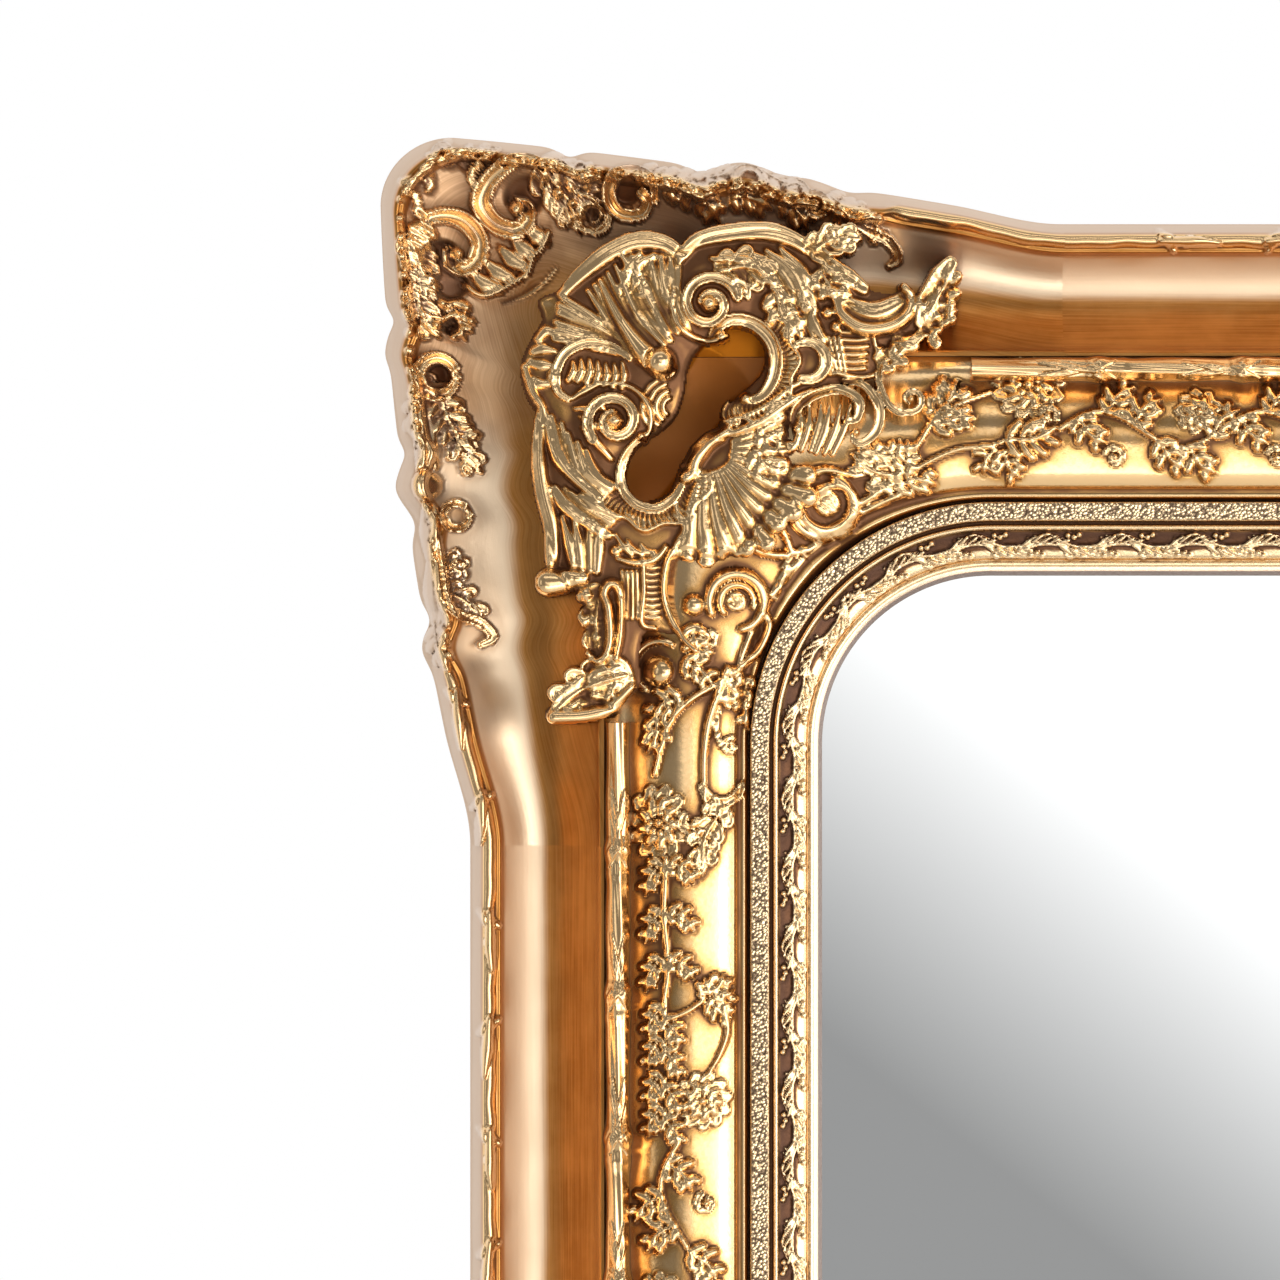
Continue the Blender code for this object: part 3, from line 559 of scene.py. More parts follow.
def leaf(root: Spot, tip: Spot, bend: float, wide: float, high: float, lobes: int,
         lift: float = 0.0) -> list[Stroke]:
    """Returns an acanthus leaf of curling fingers along a bent spine.

    Args:
        root: where the leaf starts.
        tip: where it ends.
        bend: how far the spine bows to its left, in mm.
        wide: how far the longest finger reaches to each side.
        high: rise of the fingers over the ground.
        lobes: fingers on each side.
        lift: how far the whole leaf stands above the ground.

    Returns:
        The strokes, outer fingers first.
    """
    start, end = np.array(root, float), np.array(tip, float)
    along = end - start
    length = float(np.hypot(*along)) + 1e-6
    normal = np.array([-along[1], along[0]]) / length
    spine = curve([tuple(start), tuple((start + end) / 2 + normal * bend), tuple(end)], 8)
    strokes = [Stroke(
        spine, [wide * 0.28, wide * 0.58, wide * 0.5, wide * 0.26],
        [high * 0.4, high * 0.55, high * 0.6, high * 0.5], SOFT, lift, 1.6)]
    count = max(2, lobes // 2 + 1)
    size = max(length / (count * 2.35), wide * 0.22)
    section = LEAF if size > VEINED_FROM else ROUND
    for index in range(count):
        share = 0.04 + 0.66 * index / (count - 1)
        place = share * (len(spine) - 1)
        base = spine[int(place)]
        ahead = spine[min(int(place) + 1, len(spine) - 1)] - base
        ahead = ahead / (np.hypot(*ahead) + 1e-9)
        across = np.array([-ahead[1], ahead[0]])
        reach = wide * (0.72 + 0.30 * math.sin(math.pi * min(share + 0.25, 1)))
        for side in (-1, 1):
            middle = base + across * side * reach * 0.52 + ahead * reach * 0.26
            far = base + across * side * reach * 0.96 + ahead * reach * 0.66
            curl = far + ahead * reach * 0.24 - across * side * reach * 0.10
            path = curve([tuple(base), tuple(middle), tuple(far), tuple(curl)], 5)
            strokes.append(Stroke(
                path, [size * 0.75, size * 1.05, size * 0.9, size * 0.3],
                [high * 0.6, high * 0.9, high * 1.05, high * 0.55], section, lift, 1.3))
    tail = spine[int(len(spine) * 0.55):]
    strokes.append(Stroke(
        tail, [size * 0.7, size * 1.1, size * 0.3], [high * 0.8, high * 1.15, high * 0.6], section, lift,
        1.3))
    strokes.append(Stroke(
        spine, [wide * 0.1, wide * 0.13, wide * 0.07], [high * 0.9, high * 1.1, high * 0.9], ROUND,
        lift, 0.5))
    return strokes


def leaves(*rows: tuple) -> list[Stroke]:
    """Returns several leaves, each row as leaf takes it."""
    return [stroke for row in rows for stroke in leaf(*row)]


def knobs(*rows: tuple) -> list[Stroke]:
    """Returns several half balls, each row as knob takes it."""
    return [stroke for row in rows for stroke in knob(*row)]


def fan(apex: Spot, near: float, far: float, start: float, end: float, ribs: int, high: float,
        bow: float) -> list[Stroke]:
    """Returns a ribbed shell that opens from an apex; bow bends the ribs, in degrees."""
    strokes = []
    spread = math.radians(abs(end - start)) / max(ribs - 1, 1)
    for index in range(ribs):
        angle = start + (end - start) * index / max(ribs - 1, 1)
        wave = 1 + 0.05 * math.sin(index * 2.1)
        path = curve(
            [polar(apex, near, angle), polar(apex, (near + far) / 2, angle + bow * 0.4),
             polar(apex, far * wave, angle + bow)], 8)
        widths = [near * spread * 0.52 + 0.25, far * spread * 0.50]
        strokes.append(Stroke(path, widths, [high * 0.45, high * 0.75, high], ROUND, 0.0, 0.8))
    return strokes


def flower(centre: Spot, radius: float, high: float, petals: int = 9, squeeze: float = 1.0) -> list[Stroke]:
    """Returns a full rosette: two rings of petals, beads and a centre."""
    strokes = []
    for ring, (far, near, count, tall) in enumerate(((1.0, 0.42, petals, 0.7), (0.68, 0.2, petals - 2, 1.0))):
        for index in range(count):
            angle = 360 * index / count + 17 * ring
            start, middle, end = (
                polar((0, 0), radius * share, angle + twist) for share,
                twist in ((near, 0), ((far + near) / 2, 4), (far * 0.9, 8)))
            spots = [(centre[0] + x, centre[1] + y * squeeze) for x, y in (start, middle, end)]
            size = radius * far * math.pi / count * 0.92
            section = LEAF if size > VEINED_PETAL_FROM else ROUND
            strokes.append(Stroke(
                curve(spots, 4), [size * 0.5, size, size * 0.8],
                [high * tall * 0.6, high * tall, high * tall * 0.85], section, 0.0, 1.3))
    for index in range(7):
        x, y = polar((0, 0), radius * 0.27, 360 * index / 7)
        strokes += knob((centre[0] + x, centre[1] + y * squeeze), radius * 0.12, high * 1.1)
    return strokes + knob(centre, radius * 0.17, high * 1.3)


def stem(points: Sequence[Spot], wide: float, high: float) -> list[Stroke]:
    """Returns a smooth vine stem that thins at its end."""
    return [Stroke(curve(points, 12), [wide, wide * 0.95, wide * 0.6], [high, high, high * 0.8])]


# ---------------------------------------------------------------- the leaning frame


@dataclass(frozen=True)
class Plan:
    """Widths of the mouldings, in millimetres outward from the sight edge, and the sweep of the corners."""

    sight_radius: float = 85.0
    liner: float = 37.0
    panel: float = 110.0
    rail: float = 178.0
    flare: float = 46.0
    bend: float = 37.0
    side_sweep: float = 360.0
    top_sweep: float = 345.0
    side_power: float = 1.9
    top_power: float = 1.35
    ease: float = 0.84
    gap: float = 0.3
    cove_from: float = 18.0
    bead: float = 10.0

    @property
    def reach(self) -> float:
        """Returns how far the tip of the swept corner stands out."""
        return self.rail + self.flare

    def swell(self, distance: Array, length: float, power: float) -> Array:
        """Returns how far the swept outline stands beyond the straight rail, this far from the corner."""
        part = np.clip(distance / length, 0, 1)
        along = np.clip((part - self.ease) / (1 - self.ease), 0, 1)
        height = 1 - self.ease**power
        slope = -power * self.ease ** (power - 1) * (1 - self.ease)
        rest = height * (2 * along**3 - 3 * along**2 + 1) + slope * (along**3 - 2 * along**2 + along)
        return self.flare * np.where(part < self.ease, 1 - part**power, rest)

    def side_edge(self, at: float) -> float:
        """Returns how far out the outline of a side stands at a height."""
        return self.rail + float(self.swell(np.array(self.reach - at), self.side_sweep, self.side_power))

    def top_edge(self, at: float) -> float:
        """Returns how far up the outline of the top stands."""
        return self.rail + float(self.swell(np.array(self.reach - at), self.top_sweep, self.top_power))


PLAN = Plan()


class Stance:
    """Where the leaning frame stands in the room, read from the glass."""

    GLASS_THICK = 5.0
    BOARD_THICK = 6.0
    TUCKED = 7.0

    def __init__(self, frame: dict) -> None:
        """Reads the lean, the middle and the sight size from the glass node."""
        mesh = frame["nodes"]["mirror_glass"].data
        face = max(
            (polygon for polygon in mesh.polygons if polygon.normal.y < -0.5), key=lambda part: part.area)
        self.front = np.array(face.normal)
        self.up = np.array([0.0, self.front[2], -self.front[1]])
        low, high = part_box("mirror_glass")
        self.middle = (np.array(low) + np.array(high)) / 2
        self.half_wide = (high.x - low.x) / 2 / MM - self.TUCKED
        lean = math.atan2(self.front[2], -self.front[1])
        long = ((high.z - low.z) / MM - self.GLASS_THICK * abs(math.sin(lean))) / math.cos(lean)
        self.half_high = long / 2 - self.TUCKED
        self.glass_rise = PLAN.gap + self.BOARD_THICK + PLAN.gap + self.GLASS_THICK / 2
        LOG.info(
            "lean %.2f degrees, half sight %.1f by %.1f mm",
            math.degrees(lean), self.half_wide, self.half_high)

    def place(self, x: Array, z: Array, rise: Array) -> Array:
        """Returns room positions of points given in millimetres across, up and forward from the middle."""
        x, z, rise = np.broadcast_arrays(x, z, rise)
        offset = x[..., None] * np.array([1.0, 0, 0]) + z[..., None] * self.up
        return self.middle + MM * (offset + (rise - self.glass_rise)[..., None] * self.front)


@dataclass
class Sheet:
    """A carved sheet of one quarter of the frame, ready to be laid in any of its mirrored places."""

    relief: Relief
    spacing: float
    marks: dict = field(default_factory=dict)
    keep_above: float | None = None
    closed: bool = False

    def stored(self) -> dict:
        """Returns the values that the finishes read from the mesh."""
        values = {"hollow": self.relief.hollow(self.spacing), "carved": self.relief.carved}
        values.update(self.marks)
        return values


class Laying:
    """Gathers the points and faces of sheets into one object."""

    def __init__(self, stance: Stance) -> None:
        """Starts empty."""
        self.stance = stance
        self.points: list[Array] = []
        self.faces: list[Array] = []
        self.backs: list[Array] = []
        self.values: dict[str, list[Array]] = {}
        self.offset = 0

    def patch(self, x: Array, z: Array, rise: Array, quads: Array, back: int) -> None:
        """Adds a grid of points and its faces, in the first or the second material."""
        self.points.append(self.stance.place(x, z, rise).reshape(-1, 3))
        self.faces.append(quads + self.offset)
        self.backs.append(np.full(len(quads), back, np.int32))
        self.offset += rise.size

    def add(self, sheet: Sheet, side: int, end: int) -> None:
        """Adds a sheet at a side (-1 left, 1 right) and an end (-1 bottom, 1 top)."""
        relief = sheet.relief
        rows, columns = relief.rise.shape
        flipped = winding(relief) * side * end > 0
        x = side * (self.stance.half_wide + relief.out)
        z = end * (self.stance.half_high + relief.up)
        quads = grid_quads(rows, columns, flipped)
        if sheet.keep_above is not None:
            quads = quads[relief.rise.reshape(-1)[quads].max(1) > sheet.keep_above]
        self.patch(x, z, relief.rise, quads, 0)
        for key, value in sheet.stored().items():
            self.values.setdefault(key, []).append(
                np.asarray(value, np.float32).reshape(rows * columns, -1))
        if sheet.closed:
            around = [-1, -1, 0]
            rise = np.stack([relief.rise[:, -1], 0 * x[:, 0], 0 * x[:, 0]], 1)
            self.patch(x[:, around], z[:, around], rise, grid_quads(rows, 3, flipped), 1)
            for parts in self.values.values():
                parts.append(np.zeros((rows * 3, parts[-1].shape[1]), np.float32))

    def mesh(self, name: str) -> bpy.types.Mesh:
        """Makes the mesh of all that was added, with the values the finishes read."""
        mesh = bpy.data.meshes.new(name)
        places = np.vstack(self.points).astype(np.float32)
        loops = np.vstack(self.faces).astype(np.int32)
        used = np.zeros(len(places), bool)
        used[loops.reshape(-1)] = True
        loops = (np.cumsum(used) - 1)[loops]
        mesh.vertices.add(int(used.sum()))
        mesh.vertices.foreach_set("co", places[used].reshape(-1))
        mesh.loops.add(loops.size)
        mesh.loops.foreach_set("vertex_index", loops.reshape(-1))
        mesh.polygons.add(len(loops))
        mesh.polygons.foreach_set("loop_start", np.arange(len(loops)) * 4)
        mesh.polygons.foreach_set("use_smooth", np.ones(len(loops), bool))
        mesh.polygons.foreach_set("material_index", np.concatenate(self.backs))
        for key, parts in self.values.items():
            data = np.vstack(parts)[used]
            single = data.shape[1] == 1
            attribute = mesh.attributes.new(key, "FLOAT" if single else "FLOAT_VECTOR", "POINT")
            attribute.data.foreach_set("value" if single else "vector", data.reshape(-1))
        mesh.update(calc_edges=True)
        return mesh


def lay(name: str, stance: Stance, sheets: Sequence[tuple[Sheet, int, int]],
        materials: Sequence[bpy.types.Material], node: str) -> None:
    """Makes one object of quarter sheets, in place of a node of the frame.

    Args:
        name: the object's name.
        stance: where the frame stands.
        sheets: each sheet with its side and its end.
        materials: the finish, and the bare back.
        node: the node it replaces.
    """
    laying = Laying(stance)
    for sheet, side, end in sheets:
        laying.add(sheet, side, end)
    mesh = laying.mesh(name)
    for finish in materials:
        mesh.materials.append(finish)
    obj = bpy.data.objects.new(name, mesh)
    bpy.context.scene.collection.objects.link(obj)
    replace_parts(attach(obj, "frame"), node)
    LOG.info("%s: %d faces", name, len(mesh.polygons))


def grid_quads(rows: int, columns: int, flipped: bool) -> Array:
    """Returns the faces of a grid of points."""
    index = np.arange(rows * columns).reshape(rows, columns)
    quads = np.stack([index[:-1, :-1], index[1:, :-1], index[1:, 1:], index[:-1, 1:]], -1).reshape(-1, 4)
    return quads[:, ::-1] if flipped else quads


def winding(relief: Relief) -> float:
    """Returns the sign of the turn from the first grid direction to the second."""
    rows, columns = relief.out.shape
    r, c = rows // 2, columns // 2
    a = (relief.out[r + 1, c] - relief.out[r, c], relief.up[r + 1, c] - relief.up[r, c])
    b = (relief.out[r, c + 1] - relief.out[r, c], relief.up[r, c + 1] - relief.up[r, c])
    return float(np.sign(a[0] * b[1] - a[1] * b[0]))


# ---------------------------------------------------------------- the mouldings


def smooth(value: Array, low: float, high: float) -> Array:
    """Rises smoothly from 0 at low to 1 at high."""
    t = np.clip((value - low) / (high - low), 0, 1)
    return t * t * (3 - 2 * t)


def mound(value: Array, centre: float, reach: float) -> Array:
    """Returns a smooth hump of height 1."""
    return np.exp(-(((value - centre) / reach) ** 2))


def throat(out: Array, up: Array) -> tuple[Array, Array, Array]:
    """Returns the bowl behind the piercing: distance from its middle line, how far inside, and its floor."""
    _, away = inside(out, up, [(92.0, 50.0), (44.0, 110.0)])
    floor = 17.0 + 0.0065 * ((out - 76.0) ** 2 + (up - 74.0) ** 2)
    return away, 1 - smooth(away, 15.0, 22.0), np.minimum(floor, 30.0)


@dataclass
class OuterMoulding:
    """The flank, rim bead and cove, with the carving of the swept corner."""

    spacing: float = 0.85
    flank_width: float = 7.0
    top_rise: float = 44.0

    # Pits between the scrolls of the corner, sunk and painted dark as toning and painted shade: out, up and
    # radius.
    POOLS = (
        (150.5, 192.0, 10.5), (192.0, 160.0, 9.5), (187.0, 147.0, 8.5), (194.0, 100.5, 6.5),
        (98.5, 193.0, 7.0), (187.0, 125.5, 4.5), (116.0, 181.5, 4.0))

    def corner_lines(self) -> tuple[Array, Array]:
        """Returns the outer and inner line round the corner, as matching rows of (out, up)."""
        top = PLAN.reach
        bend = top - PLAN.bend
        turn_in = PLAN.panel - 12
        side_left = PLAN.side_edge(bend)
        top_up = PLAN.top_edge(bend)
        even_to = 60.0

        def inner_along(outer: Array) -> Array:
            """Returns the inner line's points, which draw together towards the corner."""
            share = (outer - even_to) / (bend - even_to)
            return np.where(outer < even_to, outer, even_to + share * (turn_in - even_to))

        up = np.arange(top - PLAN.side_sweep, bend, self.spacing)
        swell = PLAN.swell(top - up, PLAN.side_sweep, PLAN.side_power)
        swell += 4.0 * mound(up, 44, 9) - 2.6 * mound(up, 62, 6) - 3.0 * mound(up, 26, 8)
        swell += 3.4 * mound(up, -38, 9) - 3.2 * mound(up, -22, 7)
        swell += 2.0 * mound(up, 112, 7) - 3.4 * mound(up, 129, 6)
        side = (
            np.stack([PLAN.rail + swell, up], 1),
            np.stack([np.full_like(up, PLAN.panel), inner_along(up)], 1))
        turn = np.linspace(0, math.pi / 2, 66, endpoint=False)
        round_out = bend + (side_left - bend) * np.cos(turn)
        round_up = bend + (top_up - bend) * np.sin(turn)
        part = turn / (math.pi / 4)
        inner = np.stack(
            [np.where(part <= 1, PLAN.panel, PLAN.panel + (turn_in - PLAN.panel) * (part - 1)),
             np.where(part <= 1, turn_in + (PLAN.panel - turn_in) * part, PLAN.panel)], 1)
        out = np.append(np.arange(bend, top - PLAN.top_sweep, -self.spacing), top - PLAN.top_sweep)
        swell = PLAN.swell(top - out, PLAN.top_sweep, PLAN.top_power)
        swell += -3.6 * mound(out, 128, 7) + 5.0 * mound(out, 38, 14) - 3.0 * mound(out, 62, 8)
        swell += 1.6 * mound(out, 8, 10) - 2.0 * mound(out, -14, 9)
        over = (
            np.stack([out, PLAN.rail + swell], 1),
            np.stack([inner_along(out), np.full_like(out, PLAN.panel)], 1))
        outer_line = np.vstack([side[0], np.stack([round_out, round_up], 1), over[0]])
        return outer_line, np.vstack([side[1], inner, over[1]])

    def sheet(self, outer: Array, inner: Array, bare: bool, strokes: Sequence[Stroke]) -> Sheet:
        """Builds the moulding between two lines.

        Args:
            outer: the outline.
            inner: where the cove ends.
            bare: the rim bead runs everywhere, as on the straight rails.
            strokes: the carving.

        Returns:
            The sheet.
        """
        width = np.hypot(*(inner - outer).T)[:, None]
        rim = PLAN.cove_from
        near = np.concatenate([[0.0, 0.15], np.arange(0.6, rim, 0.62)])
        share = np.linspace(0, 1, 44 if bare else 76)[None, :]
        across = np.concatenate(
            [np.broadcast_to(near, (len(width), len(near))), rim + (width - rim) * share], 1)
        direction = (inner - outer) / width
        out = outer[:, :1] + direction[:, :1] * across
        up = outer[:, 1:] + direction[:, 1:] * across
        full = (np.ones(len(width)) if bare else bead_share(outer))[:, None]
        along = np.concatenate([[0], np.cumsum(np.hypot(*np.diff((outer + inner) / 2, axis=0).T))])[:, None]
        cove = np.clip((across - rim + 3) / (width - rim + 3), 0, 1)
        flank = self.flank_width + 3.0 * (1 - full)
        rise = self.section(across, along, full, flank, cove)
        pit = np.zeros_like(out)
        for x, y, reach in () if bare else self.POOLS:
            pit = np.maximum(pit, 1 - smooth(np.hypot(out - x, up - y) / reach, 0.72, 1.12))
        _, behind, floor = throat(out, up)
        behind = behind * (across > 20)
        rise = (rise - 5.0 * pit) * (1 - behind) + floor * behind
        relief = Relief(out, up, rise).work(strokes)
        pit = pit * ~relief.covered
        relief.carved = np.maximum(relief.carved, full * ((across > 6.9) & (across < 13.9)))
        relief.carved = np.maximum(relief.carved, pit)
        beyond = smooth(across, 5.4, 7.0) if bare else smooth(across / flank, 0.8, 1.02)
        # Painted light and shade of the cove: 0 is the pale highlight band by the rim, 1 the shaded orange of
        # the inner cove and the undercut; the corner behind the cartouche gets a shaded mix.
        inward = smooth(up, 40, 90) * smooth(out, 30, 80)
        corner_shade = 0.50 + 0.26 * smooth(cove, 0.25, 0.80)
        cove_shade = smooth(cove, 0.30, 0.56) * (1 - inward) + corner_shade * inward
        marks = {
            "flank": 1 - beyond * np.ones_like(out),
            "grain": np.stack([np.broadcast_to(along, out.shape) * MM, across * MM, 0 * out], -1),
            "cove_shade": np.maximum(cove_shade, 1 - smooth(across, 15.5, 20.0)),
            # The pits are painted dark, partly toning and partly painted shade.
            "hollow": np.maximum(relief.hollow(self.spacing), 0.86 * pit),
            # Painted glow: marks the floor behind the piercing for its orange.
            "hole_glow": behind,
        }
        return Sheet(relief, self.spacing, marks, closed=True)

    def section(self, across: Array, along: Array, full: Array, flank: Array,
                cove: Array) -> Array:
        """Returns the rise of the plain moulding.

        Args:
            across: distance from the outline.
            along: distance along the moulding.
            full: share of the rim bead that shows.
            flank: width of the outer flank.
            cove: share of the way across the cove.

        Returns:
            The rise of every point.
        """
        rim = PLAN.cove_from
        edge = np.clip(across / flank, 0, 1)
        rise = 3 + (self.top_rise - 3) * np.where(edge < 1, edge**0.62, 1.0)
        rise = np.where(across < 0.1, 0.0, rise)
        wobble = np.sin(along / 7.3) + 0.7 * np.sin(along / 3.1 + 1.0)
        bead = np.sqrt(np.clip(
            1 - ((across - PLAN.bead - 0.35 * wobble) / (3.5 + 0.25 * wobble)) ** 2, 0, 1))
        rise = rise + full * (4.6 * bead - 3.0 * mound(across, 14.6, 2.0))
        rise = rise + (1 - full) * 2.4 * np.sqrt(np.clip(1 - ((across - flank - 1.6) / 1.9) ** 2, 0, 1))
        dip = np.sin(np.pi * np.clip(cove * 1.04, 0, 1)) ** 0.72
        floor = 38 + 7 * cove - 21 * dip
        return np.where(across > rim - 3, floor + (rise - floor) * (1 - smooth(across, rim - 3, rim)), rise)

    def corner(self, strokes: Sequence[Stroke]) -> Sheet:
        """Builds the swept corner."""
        outer, inner = self.corner_lines()
        return self.sheet(outer, inner, False, strokes)

    def rail(self, half: float, sweep: float, strokes: Sequence[Stroke], across_top: bool) -> Sheet:
        """Builds the straight rail from the swept corner to the middle of the side."""
        start = PLAN.reach - sweep
        up = np.arange(start, -half - 0.01, -1.0)
        up = np.append(up, -half)
        outer = np.stack([np.full_like(up, PLAN.rail), up], 1)
        inner = np.stack([np.full_like(up, PLAN.panel), up], 1)
        if across_top:
            outer, inner = outer[:, ::-1], inner[:, ::-1]
        return self.sheet(outer, inner, True, strokes)


def bead_share(outer: Array) -> Array:
    """Returns how much of the rim bead there is along the corner: none where the carving takes its place."""
    side = smooth(-outer[:, 1], 40, 52)
    over = smooth(-outer[:, 0], 28, 40)
    return np.maximum(side, over)


def mitred_lines(near: float, far: float, half: float, spacing: float,
                 round_far: bool) -> tuple[Array, Array]:
    """Returns the inner and outer line of a side's moulding, from the mitre to the middle of the side."""
    radius = PLAN.sight_radius
    arc_length = (radius + (near + far) / 2) * math.pi / 4
    turn = np.linspace(math.pi / 4, 0, max(8, int(arc_length / spacing)), endpoint=False)
    inner = np.stack([(radius + near) * np.cos(turn) - radius, (radius + near) * np.sin(turn) - radius], 1)
    if round_far:
        outer = np.stack(
            [(radius + far) * np.cos(turn) - radius, (radius + far) * np.sin(turn) - radius], 1)
    else:
        outer = np.stack([np.full_like(turn, far), -radius + (radius + far) * turn / (math.pi / 4)], 1)
    dense = np.arange(-radius, -min(half, radius + 300), -spacing)
    sparse = np.arange(dense[-1] - 1.75 * spacing, -half, -1.75 * spacing)
    up = np.concatenate([dense, sparse, [-half]])
    straight_in = np.stack([np.full_like(up, near), up], 1)
    straight_out = np.stack([np.full_like(up, far), up], 1)
    return np.vstack([inner, straight_in]), np.vstack([outer, straight_out])


def swap(points: Array, across_top: bool) -> Array:
    """Turns a side's line into the matching line of the top."""
    return points[:, ::-1] if across_top else points


@dataclass
class InnerMoulding:
    """The raised panel, the stick and the liner of one side, from the mitre to the middle."""

    half: float
    across_top: bool
    spacing: float = 1.02
    tile: float = 37.0
    stick_middle: float = 103.0
    stick_from: float = 74.0
    knot_every: float = 72.0

    # Sections: the panel by share of its width and rise, the liner by distance out and rise.
    PANEL = (
        (0, 38), (0.012, 46.4), (0.03, 46.2), (0.075, 44.4), (0.11, 50.2), (0.2, 52.6), (0.42, 57.2),
        (0.52, 57.4), (0.64, 54), (0.74, 49.5), (0.79, 46), (0.97, 46), (1, 38))
    LINER = (
        (0, 12.2), (0.3, 14.5), (3.8, 31), (4.6, 33.4), (6.4, 34.2), (7.6, 33), (8.4, 34.8), (9.2, 37.5),
        (21, 43), (22.2, 43.4), (23, 46.2), (24, 47.2), (25, 46.2), (26, 43.6), (27, 46.5), (28, 49.6),
        (36, 49.8), (36.8, 48.8), (37, 42))

    def grid(self, near: float, far: float, spacing: float, round_far: bool,
             columns: int) -> tuple[Array, ...]:
        """Returns the grid of one moulding: out, up, share across and length along."""
        inner, outer = mitred_lines(near, far, self.half, spacing, round_far)
        middle = (inner + outer) / 2
        along = np.concatenate([[0], np.cumsum(np.hypot(*np.diff(middle, axis=0).T))])
        inner, outer = swap(inner, self.across_top), swap(outer, self.across_top)
        share = np.linspace(0, 1, columns)[None, :, None]
        grid = inner[:, None] * (1 - share) + outer[:, None] * share
        shape = grid.shape[:2]
        run = np.broadcast_to(along[:, None], shape)
        return grid[..., 0], grid[..., 1], np.broadcast_to(share[..., 0], shape), run

    def panel(self, strokes: Sequence[Stroke]) -> Sheet:
        """Builds the panel with its vine."""
        out, up, share, _ = self.grid(PLAN.liner + PLAN.gap, PLAN.panel - PLAN.gap, self.spacing, False, 82)
        relief = Relief(out, up, np.interp(share, *zip(*self.PANEL)))
        relief.rise = np.where(share < 0.09, box_blur(relief.rise, 1), box_blur(relief.rise, 4))
        away, behind, floor = throat(out, up)
        relief.rise = relief.rise * (1 - behind) + floor * behind
        relief.ground = relief.rise.copy()
        relief.work(strokes)
        # Painted glow: the bare floor behind the piercing is marked for its orange, which stands for bounced
        # light, and its hollow value is set to keep it clear of dark toning.
        hole_glow = (1 - smooth(away, 17.0, 25.0)) * ~relief.covered
        bed = smooth(share, 0.70, 0.76)
        hollow = (relief.hollow(self.spacing) - 0.12 * bed) * (1 - hole_glow) + 0.45 * hole_glow
        return Sheet(relief, self.spacing, {"hole_glow": hole_glow, "hollow": hollow})

    def stick(self) -> Sheet:
        """Builds the reeded stick with its knots and sheath leaves."""
        along = np.arange(self.stick_from, self.half + 0.01, 0.8)
        along[-1] = self.half
        knots = np.arange(self.stick_from + 64, self.half + 40, self.knot_every)
        run = along[:, None] + 0 * np.linspace(-1, 1, 31)
        u = np.linspace(-1, 1, 31)[None, :] + 0 * run
        swell = 1 + 0.05 * np.sin(run / 9.0 + 1.0)
        for place in knots:
            swell = swell + 0.22 * mound(run, place, 5.0) + 0.10 * mound(run, place + 11, 4.0)
        bow = np.sqrt(np.clip(1 - u * u, 0, 1))
        out = self.stick_middle + 6.3 * u * swell
        rise = 45.0 + 13.2 * bow * swell + 0.5 * np.cos(u * 9.0 + run * 0.05) * bow
        relief = Relief(-run, out, rise) if self.across_top else Relief(out, -run, rise)
        sheath = ((((-5.5, -7), (-2, 1), (4, 6)), 2.6), (((-1.5, 2), (1.5, 16), (3.5, 30)), 1.7))
        for place in knots:
            for turn in (-1, 1):
                for spots, wide in sheath:
                    spots = [(self.stick_middle + x * turn, y - place) for x, y in spots]
                    line = swap(curve(spots, 6), self.across_top)
                    relief.cut(Stroke(line, [wide * 0.6, wide, wide * 0.4], [1.6, 2.6, 1.2], LEAF, 0, 0.9))
        return Sheet(relief, 0.6)

    def liner(self) -> Sheet:
        """Builds the granulated band, fillet, leafy band and lip."""
        out, up, share, along = self.grid(0, PLAN.liner, 0.85, True, 62)
        across = share * PLAN.liner
        rise = np.interp(across, *zip(*self.LINER))
        folded = Relief(across, np.mod(along, self.tile), rise).work(rinceau(self.tile))
        relief = Relief(out, up, rise)
        relief.rise, relief.carved = folded.rise, folded.carved
        sanded = smooth(across, 27.2, 28.2) * (1 - smooth(across, 36.0, 36.8))
        leafy = smooth(across, 7.6, 8.6) * (1 - smooth(across, 21.0, 22.0))
        return Sheet(relief, 0.6, {"sanded": sanded, "leafy": leafy})


def rinceau(tile: float) -> list[Stroke]:
    """Returns one repeat of the leafy band: two veined leaves that pass each other, with small knobs."""
    strokes = []
    for shift in (-tile, 0, tile):
        for side in (-1, 1):
            start = shift + (0.0 if side < 0 else tile / 2)
            body = [
                (15 - side * 4.6, start), (15 + side * 0.5, start + 7), (15 + side * 3.2, start + 16),
                (15 + side * 0.8, start + 25), (15 - side * 3.4, start + 31)]
            strokes += band(body, [0.7, 2.2, 3.2, 2.3, 0.8], [1.6, 2.4, 2.8, 2.4, 1.6], LEAF)
            for index in range(4):
                root = (15 + side * 1.6, start + 9 + 4.6 * index)
                tip = (15 + side * (4.6 - 0.7 * index), start + 13 + 4.6 * index)
                strokes += band([root, tip], [0.5, 0.8], 3.3)
            strokes += volute((15 - side * 3.6, start + 27.5), 2.8, 90 * side, 1.0 * side, 0.9, 2.8)
            for spot in ((-side * 4.8, 8.0), (-side * 4.0, 11.0), (-side * 5.2, 13.6)):
                strokes += knob((15 + spot[0], start + spot[1]), 1.5, 2.8)
    return strokes


# ---------------------------------------------------------------- the cartouche


def band(points: Sequence[Spot], wide: float | Sequence[float], high: float | Sequence[float],
         section: Section = ROUND, lift: float = 0.0, over: bool = False) -> list[Stroke]:
    """Returns one stroke through the points."""
    return [Stroke(curve(points, 10), wide, high, section, lift, 1.5, over)]


